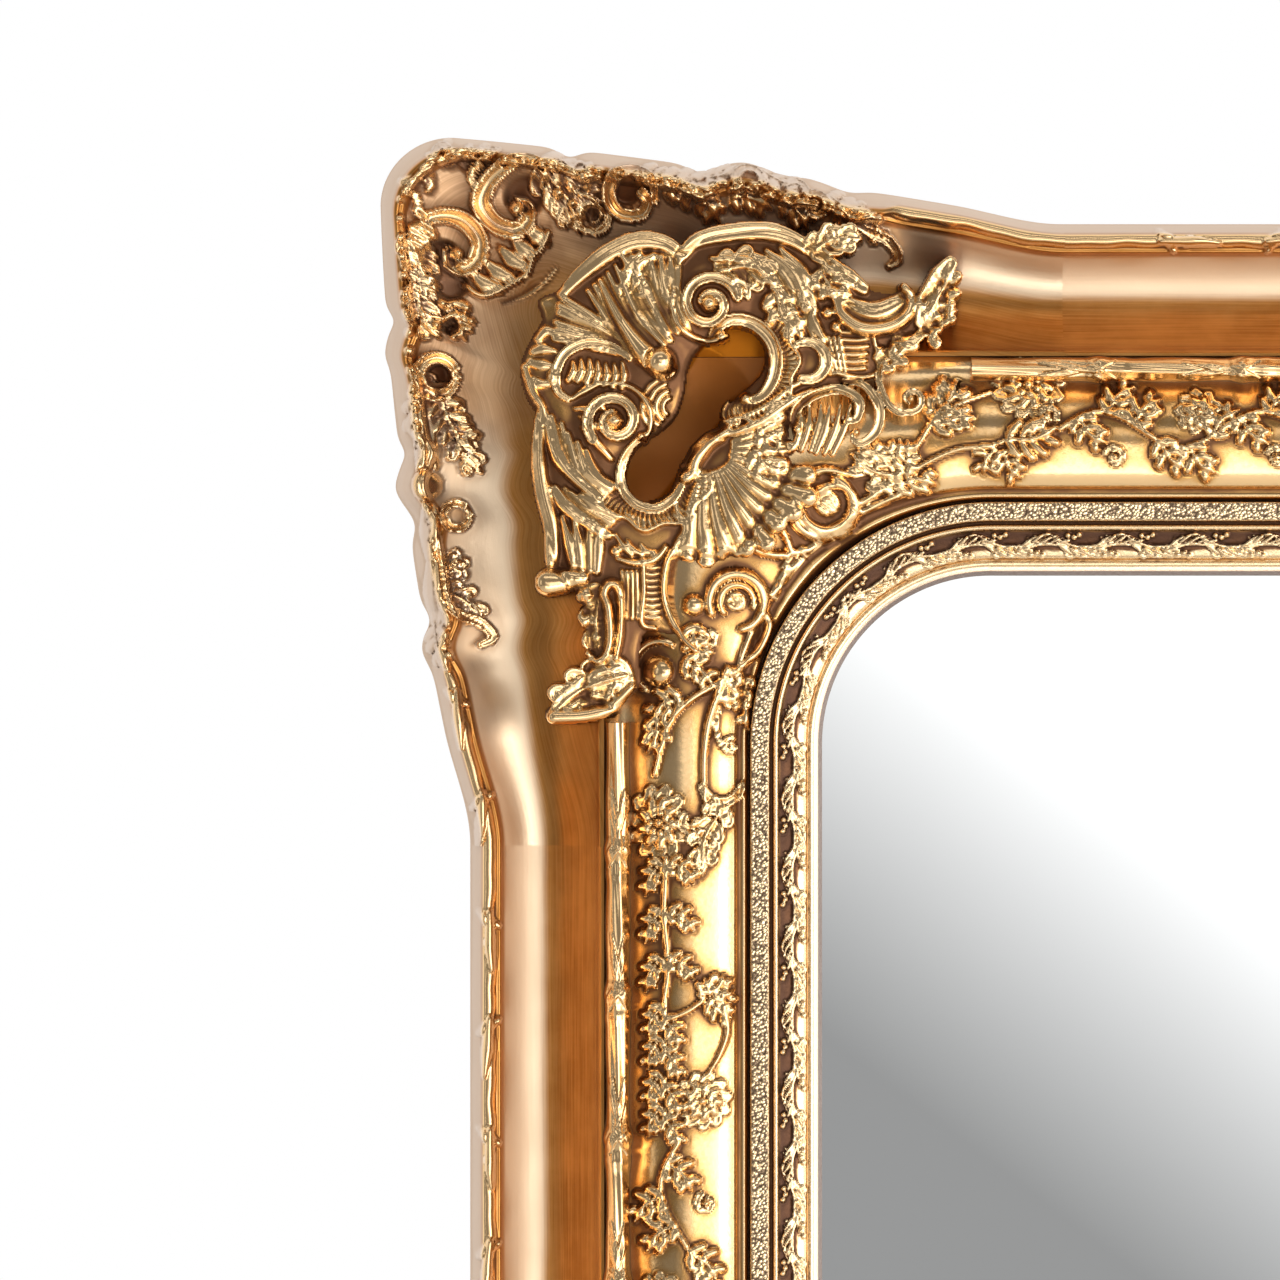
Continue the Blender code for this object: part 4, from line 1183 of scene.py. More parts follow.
def strands(starts: Sequence[Spot], middles: Sequence[Spot], ends: Sequence[Spot], count: int, wide: float,
            high: float, lift: float = 0.0) -> list[Stroke]:
    """Returns a flow of parallel ribs between a first and a last line.

    Args:
        starts: where the first and the last rib start.
        middles: where they pass.
        ends: where they end.
        count: how many ribs.
        wide: half width of a rib.
        high: its rise.
        lift: how far the flow stands above the ground.

    Returns:
        The strokes.
    """
    strokes = []
    for index in range(count):
        share = index / max(count - 1, 1)
        wave = 0.9 * math.sin(index * 2.4)
        spots = []
        for first, last in (starts, middles, ends):
            spots.append((
                first[0] + (last[0] - first[0]) * share + wave * 0.5,
                first[1] + (last[1] - first[1]) * share - wave * 0.4))
        tall = high * (0.85 + 0.22 * math.sin(index * 1.7 + 1))
        strokes.append(Stroke(
            curve(spots, 9), [wide * 0.6, wide * 1.25, wide * 0.9], [tall * 0.7, tall, tall * 0.9],
            ROUND, lift, 0.9))
    return strokes


def inside(x: Array, y: Array, outline: Sequence[Spot]) -> tuple[Array, Array]:
    """Returns which points lie inside a closed outline, and how far each lies from it."""
    within = np.zeros(x.shape, bool)
    away = np.full(x.shape, 1e9)
    for (x0, y0), (x1, y1) in zip(outline, [*outline[1:], outline[0]]):
        crosses = (y0 > y) != (y1 > y)
        within ^= crosses & (x < (x1 - x0) * (y - y0) / (y1 - y0 + 1e-12) + x0)
        length = (x1 - x0) ** 2 + (y1 - y0) ** 2 + 1e-9
        t = np.clip(((x - x0) * (x1 - x0) + (y - y0) * (y1 - y0)) / length, 0, 1)
        away = np.minimum(away, np.hypot(x - x0 - t * (x1 - x0), y - y0 - t * (y1 - y0)))
    return within, away


@dataclass
class Cartouche:
    """The pierced corner piece: two volutes, a horn, ruffled shells, leaves, lattice and feet."""

    spacing: float = 0.75
    ground: float = 58.5
    deep: float = 30.0
    fuller: float = 1.16

    BOSSES = ((57.5, 135.4), (104.8, 77), (86, 112))

    def outline(self) -> list[Spot]:
        """Returns the edge of the plate."""
        spots = [
            (104, -66), (120, -60), (116, -38), (120, -16), (126, -6), (134, 6), (138, 22), (143, 42),
            (145, 60), (143, 78), (149, 90), (152, 104), (147, 118), (141, 128), (143, 138), (132, 143),
            (121, 152), (108, 162), (93, 168), (79, 166), (70, 161), (60, 168), (44, 171), (28, 172),
            (14, 168), (3, 160), (-12, 150), (-22, 143), (-40, 140), (-50, 138), (-58, 146), (-60, 130),
            (-50, 122), (-36, 118), (-28, 108), (-25, 98), (-16, 98), (-6, 95), (6, 90), (14, 80), (20, 66),
            (16, 56), (22, 44), (30, 32), (38, 20), (46, 10), (60, 8), (70, 12), (76, 2), (78, -14),
            (74, -30), (88, -28), (92, -40), (92, -56)]
        return [tuple(spot) for spot in curve([*spots, spots[0]], 3)[:-1]]

    def piercing(self) -> list[Spot]:
        """Returns the edge of the kidney-shaped hole."""
        spots = [
            (99, 47), (98, 57), (91, 66), (82, 72), (74, 80), (70, 92), (68, 104), (63, 113), (56, 120),
            (46, 124), (35, 121), (29, 112), (31, 101), (39, 93), (48, 84), (53, 74), (60, 66), (70, 58),
            (74, 48), (78, 41), (88, 37), (96, 40)]
        return [tuple(spot) for spot in curve([*spots, spots[0]], 4)[:-1]]

    def horn(self) -> list[Stroke]:
        """Returns the smooth horn that ends in a drop, and the fine ridges beside it."""
        strokes = strands(
            ((118, 142), (101, 158)), ((107, 126), (90, 132)), ((92, 106), (77, 117)), 6, 2, 3.8)
        spots = [(112, 147), (105, 133), (97, 120), (88, 109), (80, 104)]
        strokes.append(Stroke(
            curve(spots, 10), [1.5, 2.6, 3.6, 5.2, 6.2], [4, 5.5, 7, 9, 9.8], ROUND, 0.5, 2,
            True))
        strokes += knob((81.5, 106), 7, 11.5, 0.5)
        return strokes

    def left_fan(self) -> list[Stroke]:
        """Returns the fan of ribs on the left and the curled rim with its row of lobes."""
        strokes = strands(
            ((98, 116), (93, 108)), ((114, 128), (112, 113)), ((131, 139), (135, 118)), 6, 1.9, 4.4)
        strokes += strands(
            ((133, 120), (136, 96)), ((139, 122), (143, 96)), ((143, 118), (149, 100)), 4, 2.2, 3.6)
        strokes += band(
            [(97, 108), (106, 114), (118, 116), (129, 111), (134, 101), (133, 92), (128, 88)],
            [1.2, 2.4, 2.2, 1.4], [4, 5.5, 5, 4], SCROLL, 0.8, True)
        for index in range(7):
            root = (125.5 - 4.1 * index, 106.5 + 1.2 * math.sin(index))
            tip = (127.5 - 4.4 * index, 97.5 - 0.6 * index)
            strokes += band(
                [root, ((root[0] + tip[0]) / 2 - 1.2, (root[1] + tip[1]) / 2), tip], [1, 1.9, 1.8],
                [2.6, 5, 4.2])
        strokes += band([(150, 104), (146, 92), (141, 84), (140, 76)], [2, 2.4, 1.6], [3, 5, 4])
        strokes += knob((135, 99), 3.4, 4.2)
        return strokes

    def upper_fan(self) -> list[Stroke]:
        """Returns the long curving ribs above the horn and the smooth rolled edges over them."""
        strokes = strands(
            ((79, 121), (66, 121)), ((91, 143), (73, 140)), ((101, 160), (72, 158)), 7, 2.1, 5.4)
        strokes += strands(
            ((97, 142), (90, 150)), ((99, 152), (86, 158)), ((92, 161), (78, 160)), 3, 1.9, 5)
        for spots in ([(131, 141), (121, 151), (108, 161), (94, 167), (80, 166), (71, 160)],
                      [(72, 158), (64, 167), (48, 171), (30, 172), (16, 168), (3, 160)],
                      [(4, 160), (-8, 151), (-20, 143)]):
            strokes += band(spots, [2.6, 4.4, 4.6, 3], [3.4, 5.6, 5.6, 4], lift=0.3)
        strokes += leaf((101, 138), (94, 150), 2, 5.5, 3.6, 4)
        return strokes

    def right_leaves(self) -> list[Stroke]:
        """Returns the acanthus that flows down the right side of the upper volute."""
        strokes = strands(
            ((56, 158), (22, 163)), ((36, 156), (10, 150)), ((22, 140), (5, 132)), 6, 2.5, 5.8)
        strokes += strands(((24, 142), (8, 138)), ((18, 130), (4, 126)), ((16, 118), (0, 118)), 4, 2.2, 5.2)
        strokes += leaves(
            ((52, 152), (26, 146), -5, 7.5, 4.6, 5), ((24, 140), (12, 120), 3, 6.5, 4.4, 5),
            ((2, 152), (-14, 140), 3, 6.5, 4.8, 5), ((6, 162), (-18, 168), -3, 6, 4.4, 5),
            ((-4, 164), (-6, 175), 2, 4.5, 4, 4))
        berries = (((-4, 141), 3.6), ((-2, 131), 2.8), ((-6, 124), 2.6), ((4, 145), 2.6), ((10, 133), 2.2),
                   ((-14, 148), 2.6))
        for spot, size in berries:
            strokes += knob(spot, size, size * 1.9)
        return strokes

    def rims(self) -> list[Stroke]:
        """Returns the pleated frills and the smooth bands round the hole."""
        lobe, other = (42.5, 106), (86, 53)
        strokes = []
        frills = ((lobe, 19.5, 28.5, 130, 285, 30), (other, 19.5, 29, -32, -175, 26))
        for centre, near, far, start, end, count in frills:
            for index in range(count):
                angle = start + (end - start) * index / (count - 1)
                size = far + 1.6 * math.sin(index * 0.9)
                path = curve(
                    [polar(centre, near, angle), polar(centre, (near + size) / 2, angle + 3),
                     polar(centre, size, angle)], 4)
                strokes.append(Stroke(path, [0.6, 0.85, 0.8], [1, 2.2, 4.4], ROUND, 0, 0.9))
            edge = [polar(
                centre, far + 0.4 + 1.6 * math.sin(index * 0.9 * (count - 1) / 24),
                start + (end - start) * index / 24) for index in range(25)]
            strokes.append(Stroke(curve(edge, 3), 0.9, 4.8, ROUND, 0, 0.5))
        strokes += band(
            [(57, 118), (53, 124), (45, 127.5), (35, 125.5), (27, 118), (24, 108), (26, 97), (32, 89),
             (40, 87)], [1.4, 2.8, 3.2, 3.2, 2.6, 1.3], [4, 6.5, 7, 7, 6, 4], SCROLL, 0.8, True)
        strokes += knobs(((51.5, 119.5), 3, 6.5), ((39.5, 88.5), 2.8, 6))
        strokes += band(
            [(90, 70), (97.5, 62), (101.5, 52), (100, 42), (93, 35), (83, 33.5), (75, 39), (70, 47)],
            [1.3, 2, 2.4, 2.4, 2.2, 1.4], [4, 5.5, 6, 6, 6, 4], SCROLL, 0.8, True)
        strokes += knobs(((91, 69), 2.2, 6.5), ((69, 49), 3.6, 6.5))
        for radius in (4.5, 8, 11.5, 15):
            strokes.append(Stroke(
                arc((76, 84), radius, 75, -55, 14), 1.25, 4.0 - radius * 0.08, ROUND, 0, 0.9))
        strokes.append(Stroke(arc((8.5, 107), 9.5, 60, 285, 16), [1.5, 3, 2], 5.2, SCROLL, 0.4, 1.4))
        return strokes

    def volutes(self) -> list[Stroke]:
        """Returns the two big volutes, each with a second ridge outside it."""
        strokes = [
            Stroke(arc((57.5, 135.5), 18.6, 20, -120, 20), [0.9, 1.8, 1.2], 4.6, ROUND, 0, 1.4),
            Stroke(arc((104.5, 77.5), 18.2, 75, 215, 20), [0.9, 1.8, 1.2], 4.6, ROUND, 0, 1.4)]
        strokes += volute(
            (57.5, 135.4), 14.8, 165, -1.6, 2.45, 7.4, [(38, 139), (39, 143.5), (44, 146)], 0.8)
        strokes += volute((104.8, 77), 14.2, -40, 1.55, 2.45, 7.4, (), 0.8)
        return strokes

    def shell(self) -> list[Stroke]:
        """Returns the ribbed shell under the hole and the ridge over it."""
        strokes = fan((57.5, 64), 13, 53, -72, -158, 9, 6.4, -6)
        strokes += fan((57.5, 64), 12, 38, -160, -195, 4, 5.4, -8)
        strokes += leaves(((34, 62), (20, 52), 3, 7, 4.4, 4), ((32, 72), (18, 66), 2, 6, 4.4, 4))
        for index in range(12):
            angle = -72 - 8.2 * index
            strokes += knob(polar((57.5, 64), 56 - 0.6 * index, angle), 3.1, 5.2)
        strokes += band(
            [(66, 50), (64, 58), (58, 66), (50, 71), (46, 76)], [3.4, 4.6, 4, 2], [5, 6.5, 6, 4],
            SOFT, 0.6)
        strokes += band(
            [(52, 70), (40, 73), (28, 79), (16, 87), (6, 92)], [1.8, 2.4, 2.4, 1.6], [4.5, 5.5, 5.5, 4],
            lift=0.4)
        strokes += band(
            [(46, 78), (34, 82), (24, 88), (14, 95), (2, 99)], [1.2, 1.6, 1.6, 1], [3.5, 4.5, 4.5, 3])
        strokes += volute((44.5, 75.5), 4.6, 200, 1.2, 1.2, 5.4)
        strokes += band([(72, 44), (74, 34), (70, 24), (74, 16)], [1.2, 2, 1.4], [3, 4.6, 3])
        return strokes

    def lower_left(self) -> list[Stroke]:
        """Returns the flowing streaks, the finger ribs and the two feet."""
        strokes = strands(((140, 84), (119, 62)), ((133, 58), (114, 50)), ((113, 37), (105, 44)), 6, 2.3, 6)
        strokes += strands(
            ((138, 46), (122, 40)), ((130, 34), (114, 35)), ((112, 21), (103, 29)), 5, 2.1, 5.2)
        strokes += band(
            [(142, 82), (143, 62), (141, 43), (136.5, 24), (136, 6)], [2.2, 3.7, 3.9, 3.2],
            [4.2, 6.4, 6.4, 5.4], lift=0.3)
        strokes += strands(
            ((131, 29), (112, 26)), ((127.5, 16), (112, 15)), ((125, 2), (113, 2)), 4, 2.3, 5)
        strokes += band(
            [(124, -2), (131, -3), (137.5, -3.5)], [4.2, 5.6, 6.4], [6, 8, 8], lift=0.5, over=True)
        berries = (((121, -2), 3.6), ((120, -10), 4), ((117, -15), 2.8), ((118, -23), 3.8),
                   ((115, -31), 3), ((104, 12), 2.6), ((98, 14), 2.4), ((108, 20), 2.4))
        for spot, size in berries:
            strokes += knob(spot, size, size * 1.45)
        strokes += leaf((112, -8), (112, -40), 2, 5, 4, 5)
        strokes += band(
            [(118, -39), (114, -43), (109, -40), (107, -30), (108, -16), (110, -9), (107, -4.5), (103, -6),
             (101.5, -14), (101.8, -30), (104, -42)], [1.6, 2.4, 2.4, 1.5], [5.5, 8, 8, 6], lift=0.8,
            over=True)
        strokes += leaf((99, -50), (137, -70), 4, 8.5, 5.4, 6, 0.4)
        strokes += strands(
            ((102, -46), (104, -60)), ((116, -50), (116, -62)), ((129, -58), (131, -69)), 4, 2.4, 5.4)
        strokes += band([(96, -56), (106, -66), (120, -70), (135, -71)], [2, 3.6, 3.4], [5, 7, 6], lift=0.4)
        return strokes

    def lattices(self) -> list[Stroke]:
        """Returns the striped panels and the thin ridges that frame them."""
        strokes = []
        for index in range(6):
            level = 121.5 - 3.6 * index
            strokes += band(
                [(-8 + 0.5 * index, level), (-15, level - 0.6), (-23 + 0.5 * index, level)], 0.95, 3)
        for index in range(5):
            strokes += band(
                [(2.5 - 2.5 * index, 119), (0.5 - 2.4 * index, 110), (-3 - 2.0 * index, 100)], 0.85, 3.2)
            strokes += band(
                [(101 - 2.4 * index, 2), (100.5 - 2.4 * index, -10), (101 - 2.6 * index, -22)], 0.85, 2.8)
        for index in range(9):
            strokes += band(
                [(89.5, 4 - 3.1 * index), (86, 3.4 - 3.1 * index), (82, 4 - 3.1 * index)], 0.8, 2.2)
        strokes += band([(103, 8), (94, 6), (84, 8), (79, 14)], [1.2, 2, 1.4], 4.5)
        strokes += band([(90.5, 8), (90, -8), (91, -24), (84, -27)], 1.1, 4)
        strokes += band(
            [(73, 17), (78.5, 6), (80, -8), (77, -20), (71, -31), (64, -38)], [1.1, 1.9, 1.9, 1.4], 5.2,
            lift=0.5)
        strokes += band([(-6, 101), (-16, 99), (-25, 100), (-27, 108), (-25, 118)], 1.1, 4)
        strokes += strands(((104, 20), (86, 12)), ((100, 14), (84, 10)), ((96, 10), (80, 12)), 4, 1.3, 3.4)
        return strokes

    def right_scrolls(self) -> list[Stroke]:
        """Returns the arches, the scroll that hangs over the panel, the pod and the standing leaf."""
        strokes = band(
            [(13.8, 73.5), (15.5, 79), (11.5, 85.5), (2, 91), (-9, 92.6), (-17.5, 87), (-16.5, 78.5),
             (-12, 77)], [1, 2.2, 2.5, 2.4, 1.6], [4, 6, 6, 6, 4.5], SCROLL, 0.6, True)
        strokes += band(
            [(-10, 97), (-20.5, 94.5), (-27.5, 84), (-26.5, 73), (-20, 66.5), (-15, 67), (-14.5, 72)],
            [1.2, 2.4, 2.4, 2, 1.1], [4, 6, 6, 6, 4], SCROLL, 0.6, True)
        strokes += strands(((12, 86), (-13, 85)), ((12, 75), (-10, 73)), ((15, 63), (-4, 60)), 6, 1.7, 4.2)
        strokes += strands(
            ((126, 88), (121, 74)), ((120, 92), (113, 66)), ((112, 96), (106, 58)), 4, 1.6, 4.2)
        strokes += knobs(((13.6, 73.2), 2.4, 6), ((-16, 71.5), 2, 6))
        strokes += volute(
            (-43.4, 88), 6.6, 275, -1.1, 1.9, 6.2,
            [(-37, 119), (-29.5, 108), (-27.5, 98), (-31, 87), (-37, 81.5)], 0.6)
        strokes += leaf((-28, 106), (-44, 121), 3, 5, 4.6, 5)
        strokes += band(
            [(-36, 118), (-44, 117), (-51, 122), (-57, 117)], [2, 2.4, 1.6], [5, 5.6, 4], LEAF,
            0.4)
        strokes += volute((-56.5, 117), 3.6, 60, -0.9, 1.3, 5.2)
        strokes += strands(
            ((-12, 138), (-12, 128)), ((-26, 134), (-26, 124)), ((-41, 141), (-41, 131)), 4, 2.3, 4.2)
        strokes += band(
            [(-6, 137), (-9, 130), (-18, 123.5), (-30, 123), (-40, 128), (-44, 137), (-40, 144)],
            [2.2, 3.4, 3.2, 2.2], [5, 7, 7, 5], lift=0.4)
        strokes += leaf((-50, 130), (-62.5, 156), 3, 7, 5.4, 6, 0.4)
        strokes += band(
            [(-48, 126), (-52, 138), (-58, 149), (-63, 156)], [2.4, 4.6, 4.6, 3.2], [5, 6.5, 6.5, 5.5],
            LEAF, 0.6)
        strokes += leaf((-52, 124), (-66, 132), -2, 5, 4.6, 5)
        return strokes

    def sheet(self) -> Sheet:
        """Builds the carved plate."""
        axis_out = np.arange(154, -72, -self.spacing)
        axis_up = np.arange(-76, 178, self.spacing)
        out, up = np.meshgrid(axis_out, axis_up, indexing="ij")
        within, away = inside(out, up, self.outline())
        hole, from_hole = inside(out, up, self.piercing())
        rim = np.minimum(away, from_hole)
        crown = 2.6 * smooth(rim, 0, 14) - 1.6 * (1 - smooth(rim, 0, 3))
        for x, y in self.BOSSES:
            crown = crown + 4.0 * np.clip(1 - ((out - x) ** 2 + (up - y) ** 2) / 21.0**2, 0, 1)
        relief = Relief(out, up, self.ground + crown)
        strokes = [
            *self.lower_left(), *self.lattices(), *self.left_fan(), *self.upper_fan(), *self.right_leaves(),
            *self.shell(), *self.rims(), *self.horn(), *self.volutes(), *self.right_scrolls()]
        for stroke in strokes:
            stroke.wide = stroke.wide * self.fuller
        relief.work(strokes)
        relief.rise = (relief.rise + box_blur(relief.rise, 1)) / 2
        stands = (within & ~hole) | relief.covered
        hollow = relief.hollow(self.spacing)
        relief.rise = np.where(stands, relief.rise, self.deep - 6)
        # Painted shade: the walls that drop from the plate and round the hole darken towards their foot,
        # where the hollow value is forced high.
        marks = {"hollow": np.where(stands, hollow, 0.9)}
        return Sheet(relief, self.spacing, marks, keep_above=self.deep)


# ---------------------------------------------------------------- carving of the outer corner


def corner_carving() -> list[Stroke]:
    """Returns the carving of the swept corner, from the side round the corner to the top."""
    strokes = []
    for spots in ([(210, 192), (203, 200), (197, 207), (192, 216), (185, 212), (176, 213), (163, 214)],
                  [(163, 214), (172, 207), (177, 200), (172, 192)],
                  [(210, 192), (204, 190), (203, 182), (196, 182)]):
        strokes += band(spots, [1.3, 2.4, 1.6], [3.5, 6, 4], LEAF, 6, True)
    strokes += leaves(
        ((196, 199), (209, 193), 2, 5, 4.5, 3), ((188, 206), (193, 218), 2, 5, 4.5, 3),
        ((182, 206), (166, 213), -2, 5, 4.5, 4))
    strokes += band(
        [(134, 190), (139, 203), (148, 208.5), (158, 206.5), (168, 198), (172, 187), (165, 177), (155, 174),
         (149, 178.5), (149, 185), (153, 187)], [2, 3.4, 4.6, 5.6, 5, 4.2, 3.4],
        [6, 10, 11, 12, 11, 10, 9], SCROLL, 3, True)
    strokes += knob((154, 185), 3.9, 12.5, 2)
    strokes += band(
        [(203, 171), (199, 178.5), (190, 181), (180, 178), (173, 169), (174.5, 159), (181.5, 154.5),
         (187.5, 157.5), (188, 163)], [2, 4, 5.2, 4.8, 4, 3.2], [6, 10, 12, 11, 10, 9],
        SCROLL, 3, True)
    strokes += knob((184.5, 162), 3.7, 12.5, 2)
    strokes += leaves(
        ((200, 176), (211, 158), -2, 6, 5.5, 5, 3), ((208, 170), (200, 138), -2, 6.5, 6.5, 6, 3),
        ((204, 144), (193, 120), 3, 6.5, 6, 5, 3), ((184, 138), (180, 119), 2, 5.5, 6, 4, 3))
    for spot, size in (((191, 137), 3), ((194, 126), 2.6), ((177, 128), 2.6)):
        strokes += knob(spot, size, 9, 3)
    ring = arc((194, 100), 9.4, 150, -205, 26)
    strokes.append(Stroke(ring, [3, 3.7, 3.4, 2], [9, 10.5, 9], SCROLL, 3, 1.6, True))
    strokes += leaves(
        ((204, 96), (184, 76), -3, 6, 5.5, 5, 2), ((202, 92), (206, 70), 2, 4, 5, 5, 2),
        ((192, 88), (174, 62), 3, 8, 6, 6, 2), ((186, 74), (172, 52), 2, 6, 5.5, 5, 2))
    strokes += strands(((206, 90), (198, 86)), ((204, 74), (195, 70)), ((203, 54), (194, 54)), 4, 2, 6, 3)
    strokes += knob((199, 45), 8, 10, 2)
    strokes.append(Stroke(
        arc((184, 30), 6.4, 120, -220, 22), [2, 2.6, 1.6], [8, 9, 8], SCROLL, 2, 1.4, True))
    strokes += strands(((200, 36), (194, 34)), ((201, 22), (194, 22)), ((198, 8), (191, 10)), 4, 1.9, 6, 2)
    strokes += flower((187, 4), 8.5, 6.5, 7)
    strokes += strands(((198, 8), (193, 6)), ((199, -8), (192, -10)), ((196, -24), (188, -24)), 4, 2, 6, 2)
    strokes += leaf((190, -8), (172, -24), -3, 6, 5.5, 5, 1)
    strokes += band(
        [(190, -14), (182, -20), (172, -24), (166, -31), (172, -35)], [2, 3, 2], [6, 8, 6],
        LEAF, 2, True)
    strokes += leaf((196, -20), (188, -48), 2, 4.5, 5.5, 6, 2)
    # The shell membrane between the two scrolls, with its wavy edge and the crease behind it.
    edge = [(180, 146), (172, 141), (164, 143), (157, 147), (149, 152), (146, 160), (141, 166), (138, 173)]
    strokes += strands(
        ((176, 152), (148, 176)), ((170, 147), (144, 171)), ((163, 144), (140, 168)), 5, 3.6, 3.4, 5)
    strokes += band(edge, 1.6, 4.6, lift=4.5, over=True)
    strokes += band([(161, 137), (150, 141), (141, 147), (134, 155)], [1, 2.4, 1], 1.6, SOFT)
    # The top: acanthus bunch, spiral, feathers and smaller scrolls.
    strokes += leaves(
        ((142, 204), (122, 174), -3, 9, 6.5, 7, 3), ((140, 208), (112, 200), 3, 7, 6, 6, 3),
        ((128, 194), (108, 180), -3, 7, 6, 5, 3))
    for spot, size in (((133, 192), 3.4), ((126, 187), 2.8), ((121, 199), 2.6)):
        strokes += knob(spot, size, 9, 3)
    strokes += band(
        [(126, 176), (114, 173), (108, 178), (110, 185)], [1.4, 2.6, 1.4], [6, 9, 6], SCROLL, 3,
        True)
    strokes += band(
        [(84, 188), (86, 198), (95, 203.5), (105, 200), (107.5, 190), (102, 182), (92, 181.5), (88, 187),
         (91, 192)], [2, 3, 3.8, 3.6, 3.4, 3], [7, 10, 11, 10, 9], SCROLL, 3, True)
    strokes += leaves(
        ((90, 203), (66, 200), 3, 5, 5.5, 6, 3), ((80, 196), (52, 188), -4, 8, 6, 7, 3),
        ((70, 192), (52, 178), -3, 6, 5.5, 5, 2), ((58, 200), (44, 206), 2, 5, 5, 4, 3))
    strokes.append(Stroke(
        arc((37.5, 199), 6.4, 200, -120, 20), [1.8, 2.6, 1.6], [8, 9, 7], SCROLL, 2, 1.4, True))
    strokes += leaves(((46, 190), (26, 184), -2, 6, 5.5, 5, 2), ((30, 204), (10, 196), 2, 5, 5.5, 5, 2))
    strokes += volute((4, 185), 7.2, 60, 1.2, 2.2, 8, [(20, 196), (12, 198)], 2)
    strokes += leaves(
        ((20, 188), (8, 174), -2, 6, 5.5, 5, 2), ((-4, 190), (-22, 182), 2, 5, 5.5, 5, 2),
        ((-8, 184), (-32, 172), 3, 7, 6, 6, 2))
    strokes += band(
        [(-14, 178), (-24, 172), (-33, 168), (-38, 160), (-34, 156)], [2, 3.2, 2], [6, 8, 6],
        LEAF, 2, True)
    for along in np.arange(8, 200, 9.5):
        size = 2.0 + 0.7 * math.sin(along * 1.3)
        if not 30 < along < 58:
            strokes += knob((PLAN.side_edge(along) - 11.5, along), size, 5, 1)
        strokes += knob((along, PLAN.top_edge(along) - 11.5), size, 5, 1)
    return strokes + rim_knots(-52, -140, False)


KNOTS_AT = (-62, -113, -173, -226, -282, -338, -395, -450, -508, -560, -618, -676)


def rim_knots(first: float, last: float, across_top: bool) -> list[Stroke]:
    """Returns the twig knots and sheath leaves that cross the rim bead between two places along a side."""
    strokes = []
    for index, at in enumerate(KNOTS_AT):
        if not last < at < first:
            continue
        centre = PLAN.side_edge(at) - PLAN.bead
        lean = 1 if index % 2 else -1
        for spots in ([(centre + 5, at - 4 * lean), (centre, at), (centre - 5.5, at + 3 * lean)],
                      [(centre - 1, at + 4), (centre + lean, at - 12), (centre + 2.2 * lean, at - 25)]):
            line = swap(curve(spots, 7), across_top)
            strokes.append(Stroke(line, [1.8, 3.1, 1.4], [3, 4.4, 2.4], ROUND, 4.4, 1, True))
    return strokes


# ---------------------------------------------------------------- the vine on the panels


def vine_near_corner() -> list[Stroke]:
    """Returns the part of the vine that winds round the corner, shared by the side and the top."""
    strokes = []
    centre = (-85, -85)
    loop = [tuple(spot) for spot in arc(centre, 133.5, 72, 8, 14)]
    strokes += stem(loop, 1.9, 4.6)
    strokes += band(
        [(-14, 50), (0, 52.5), (12, 46), (16, 34), (11, 23), (-1, 19.5), (-12, 24), (-16, 34), (-12, 43),
         (-4, 45), (3, 42)], [1.6, 3, 3.4, 3, 1.8], [4, 6.5, 6.5, 5], lift=0, over=False)
    strokes += [Stroke(arc((-1.6, 35.2), 13.2, 40, -250, 28), [1.4, 2.8, 3.2, 2.8], [4.4, 6.5, 6.5, 5.5])]
    strokes += disc((-1.5, 36), 6.8, 2.6)
    strokes += [Stroke(arc((43.5, -13.4), 14, -25, 260, 30), [2.2, 3.2, 3.2, 2], [5.5, 6.5, 6.5, 5])]
    strokes += [Stroke(arc((43.5, -13.4), 8.6, 200, -40, 20), [1.2, 2, 1.6], [4, 5, 4.4])]
    strokes += disc((44, -13), 5.2, 2.2)
    strokes += stem(
        [(29.5, -17), (27.5, -26), (33, -38), (44, -48), (55, -55), (70, -65), (79, -78), (85, -100)], 2.2,
        5)
    strokes += stem([(-16, 34), (-22, 38), (-30, 43), (-39, 48)], 2.2, 5)
    strokes += stem([(42, 17), (32, 12), (21, 10), (8, 13), (-4, 18)], 2.3, 5.2)
    strokes += stem([(27, 36), (22, 25), (17, 14), (19, 4), (24, -12)], 2, 4.8)
    strokes += knob((65, -15), 5.4, 5.5)
    strokes += volute((58.7, -32.3), 4.6, 120, 1.3, 1.4, 4.6)
    strokes += leaves(((66, -26), (58, -44), 2, 5, 4.2, 4), ((70, -44), (56, -54), -2, 6, 4.6, 4))
    strokes += [Stroke(arc((82.5, -46), 13, 120, -60, 20), [1.4, 2.4, 1.6], [4, 6, 4.4])]
    strokes += knob((82.8, -48), 7.6, 8.5)
    strokes += leaves(((72, -62), (86, -72), 3, 7, 4.6, 5), ((84, -72), (88, -88), -2, 6, 4.4, 4))
    strokes += stem([(48, -47), (53, -60), (58, -76), (60, -96), (59, -117)], 2.3, 5.2)
    strokes += volute((46.5, -86), 4.2, 100, -1.2, 1.6, 5, [(50, -60), (54, -74), (51.5, -84)])
    strokes += leaves(((38, -52), (37, -78), 2, 4.5, 4.2, 6), ((44, -48), (49, -66), 2, 4.5, 4.2, 5))
    for index in range(4):
        strokes += leaf(
            (-39 + 2 * index, 49 + 1.5 * index), (-14 - 8 * index, 60 + 2.5 * index), 2, 5.5, 4.2, 4)
    strokes += leaf((-38, 46), (-56, 45), -2, 6, 4.4, 5)
    return strokes


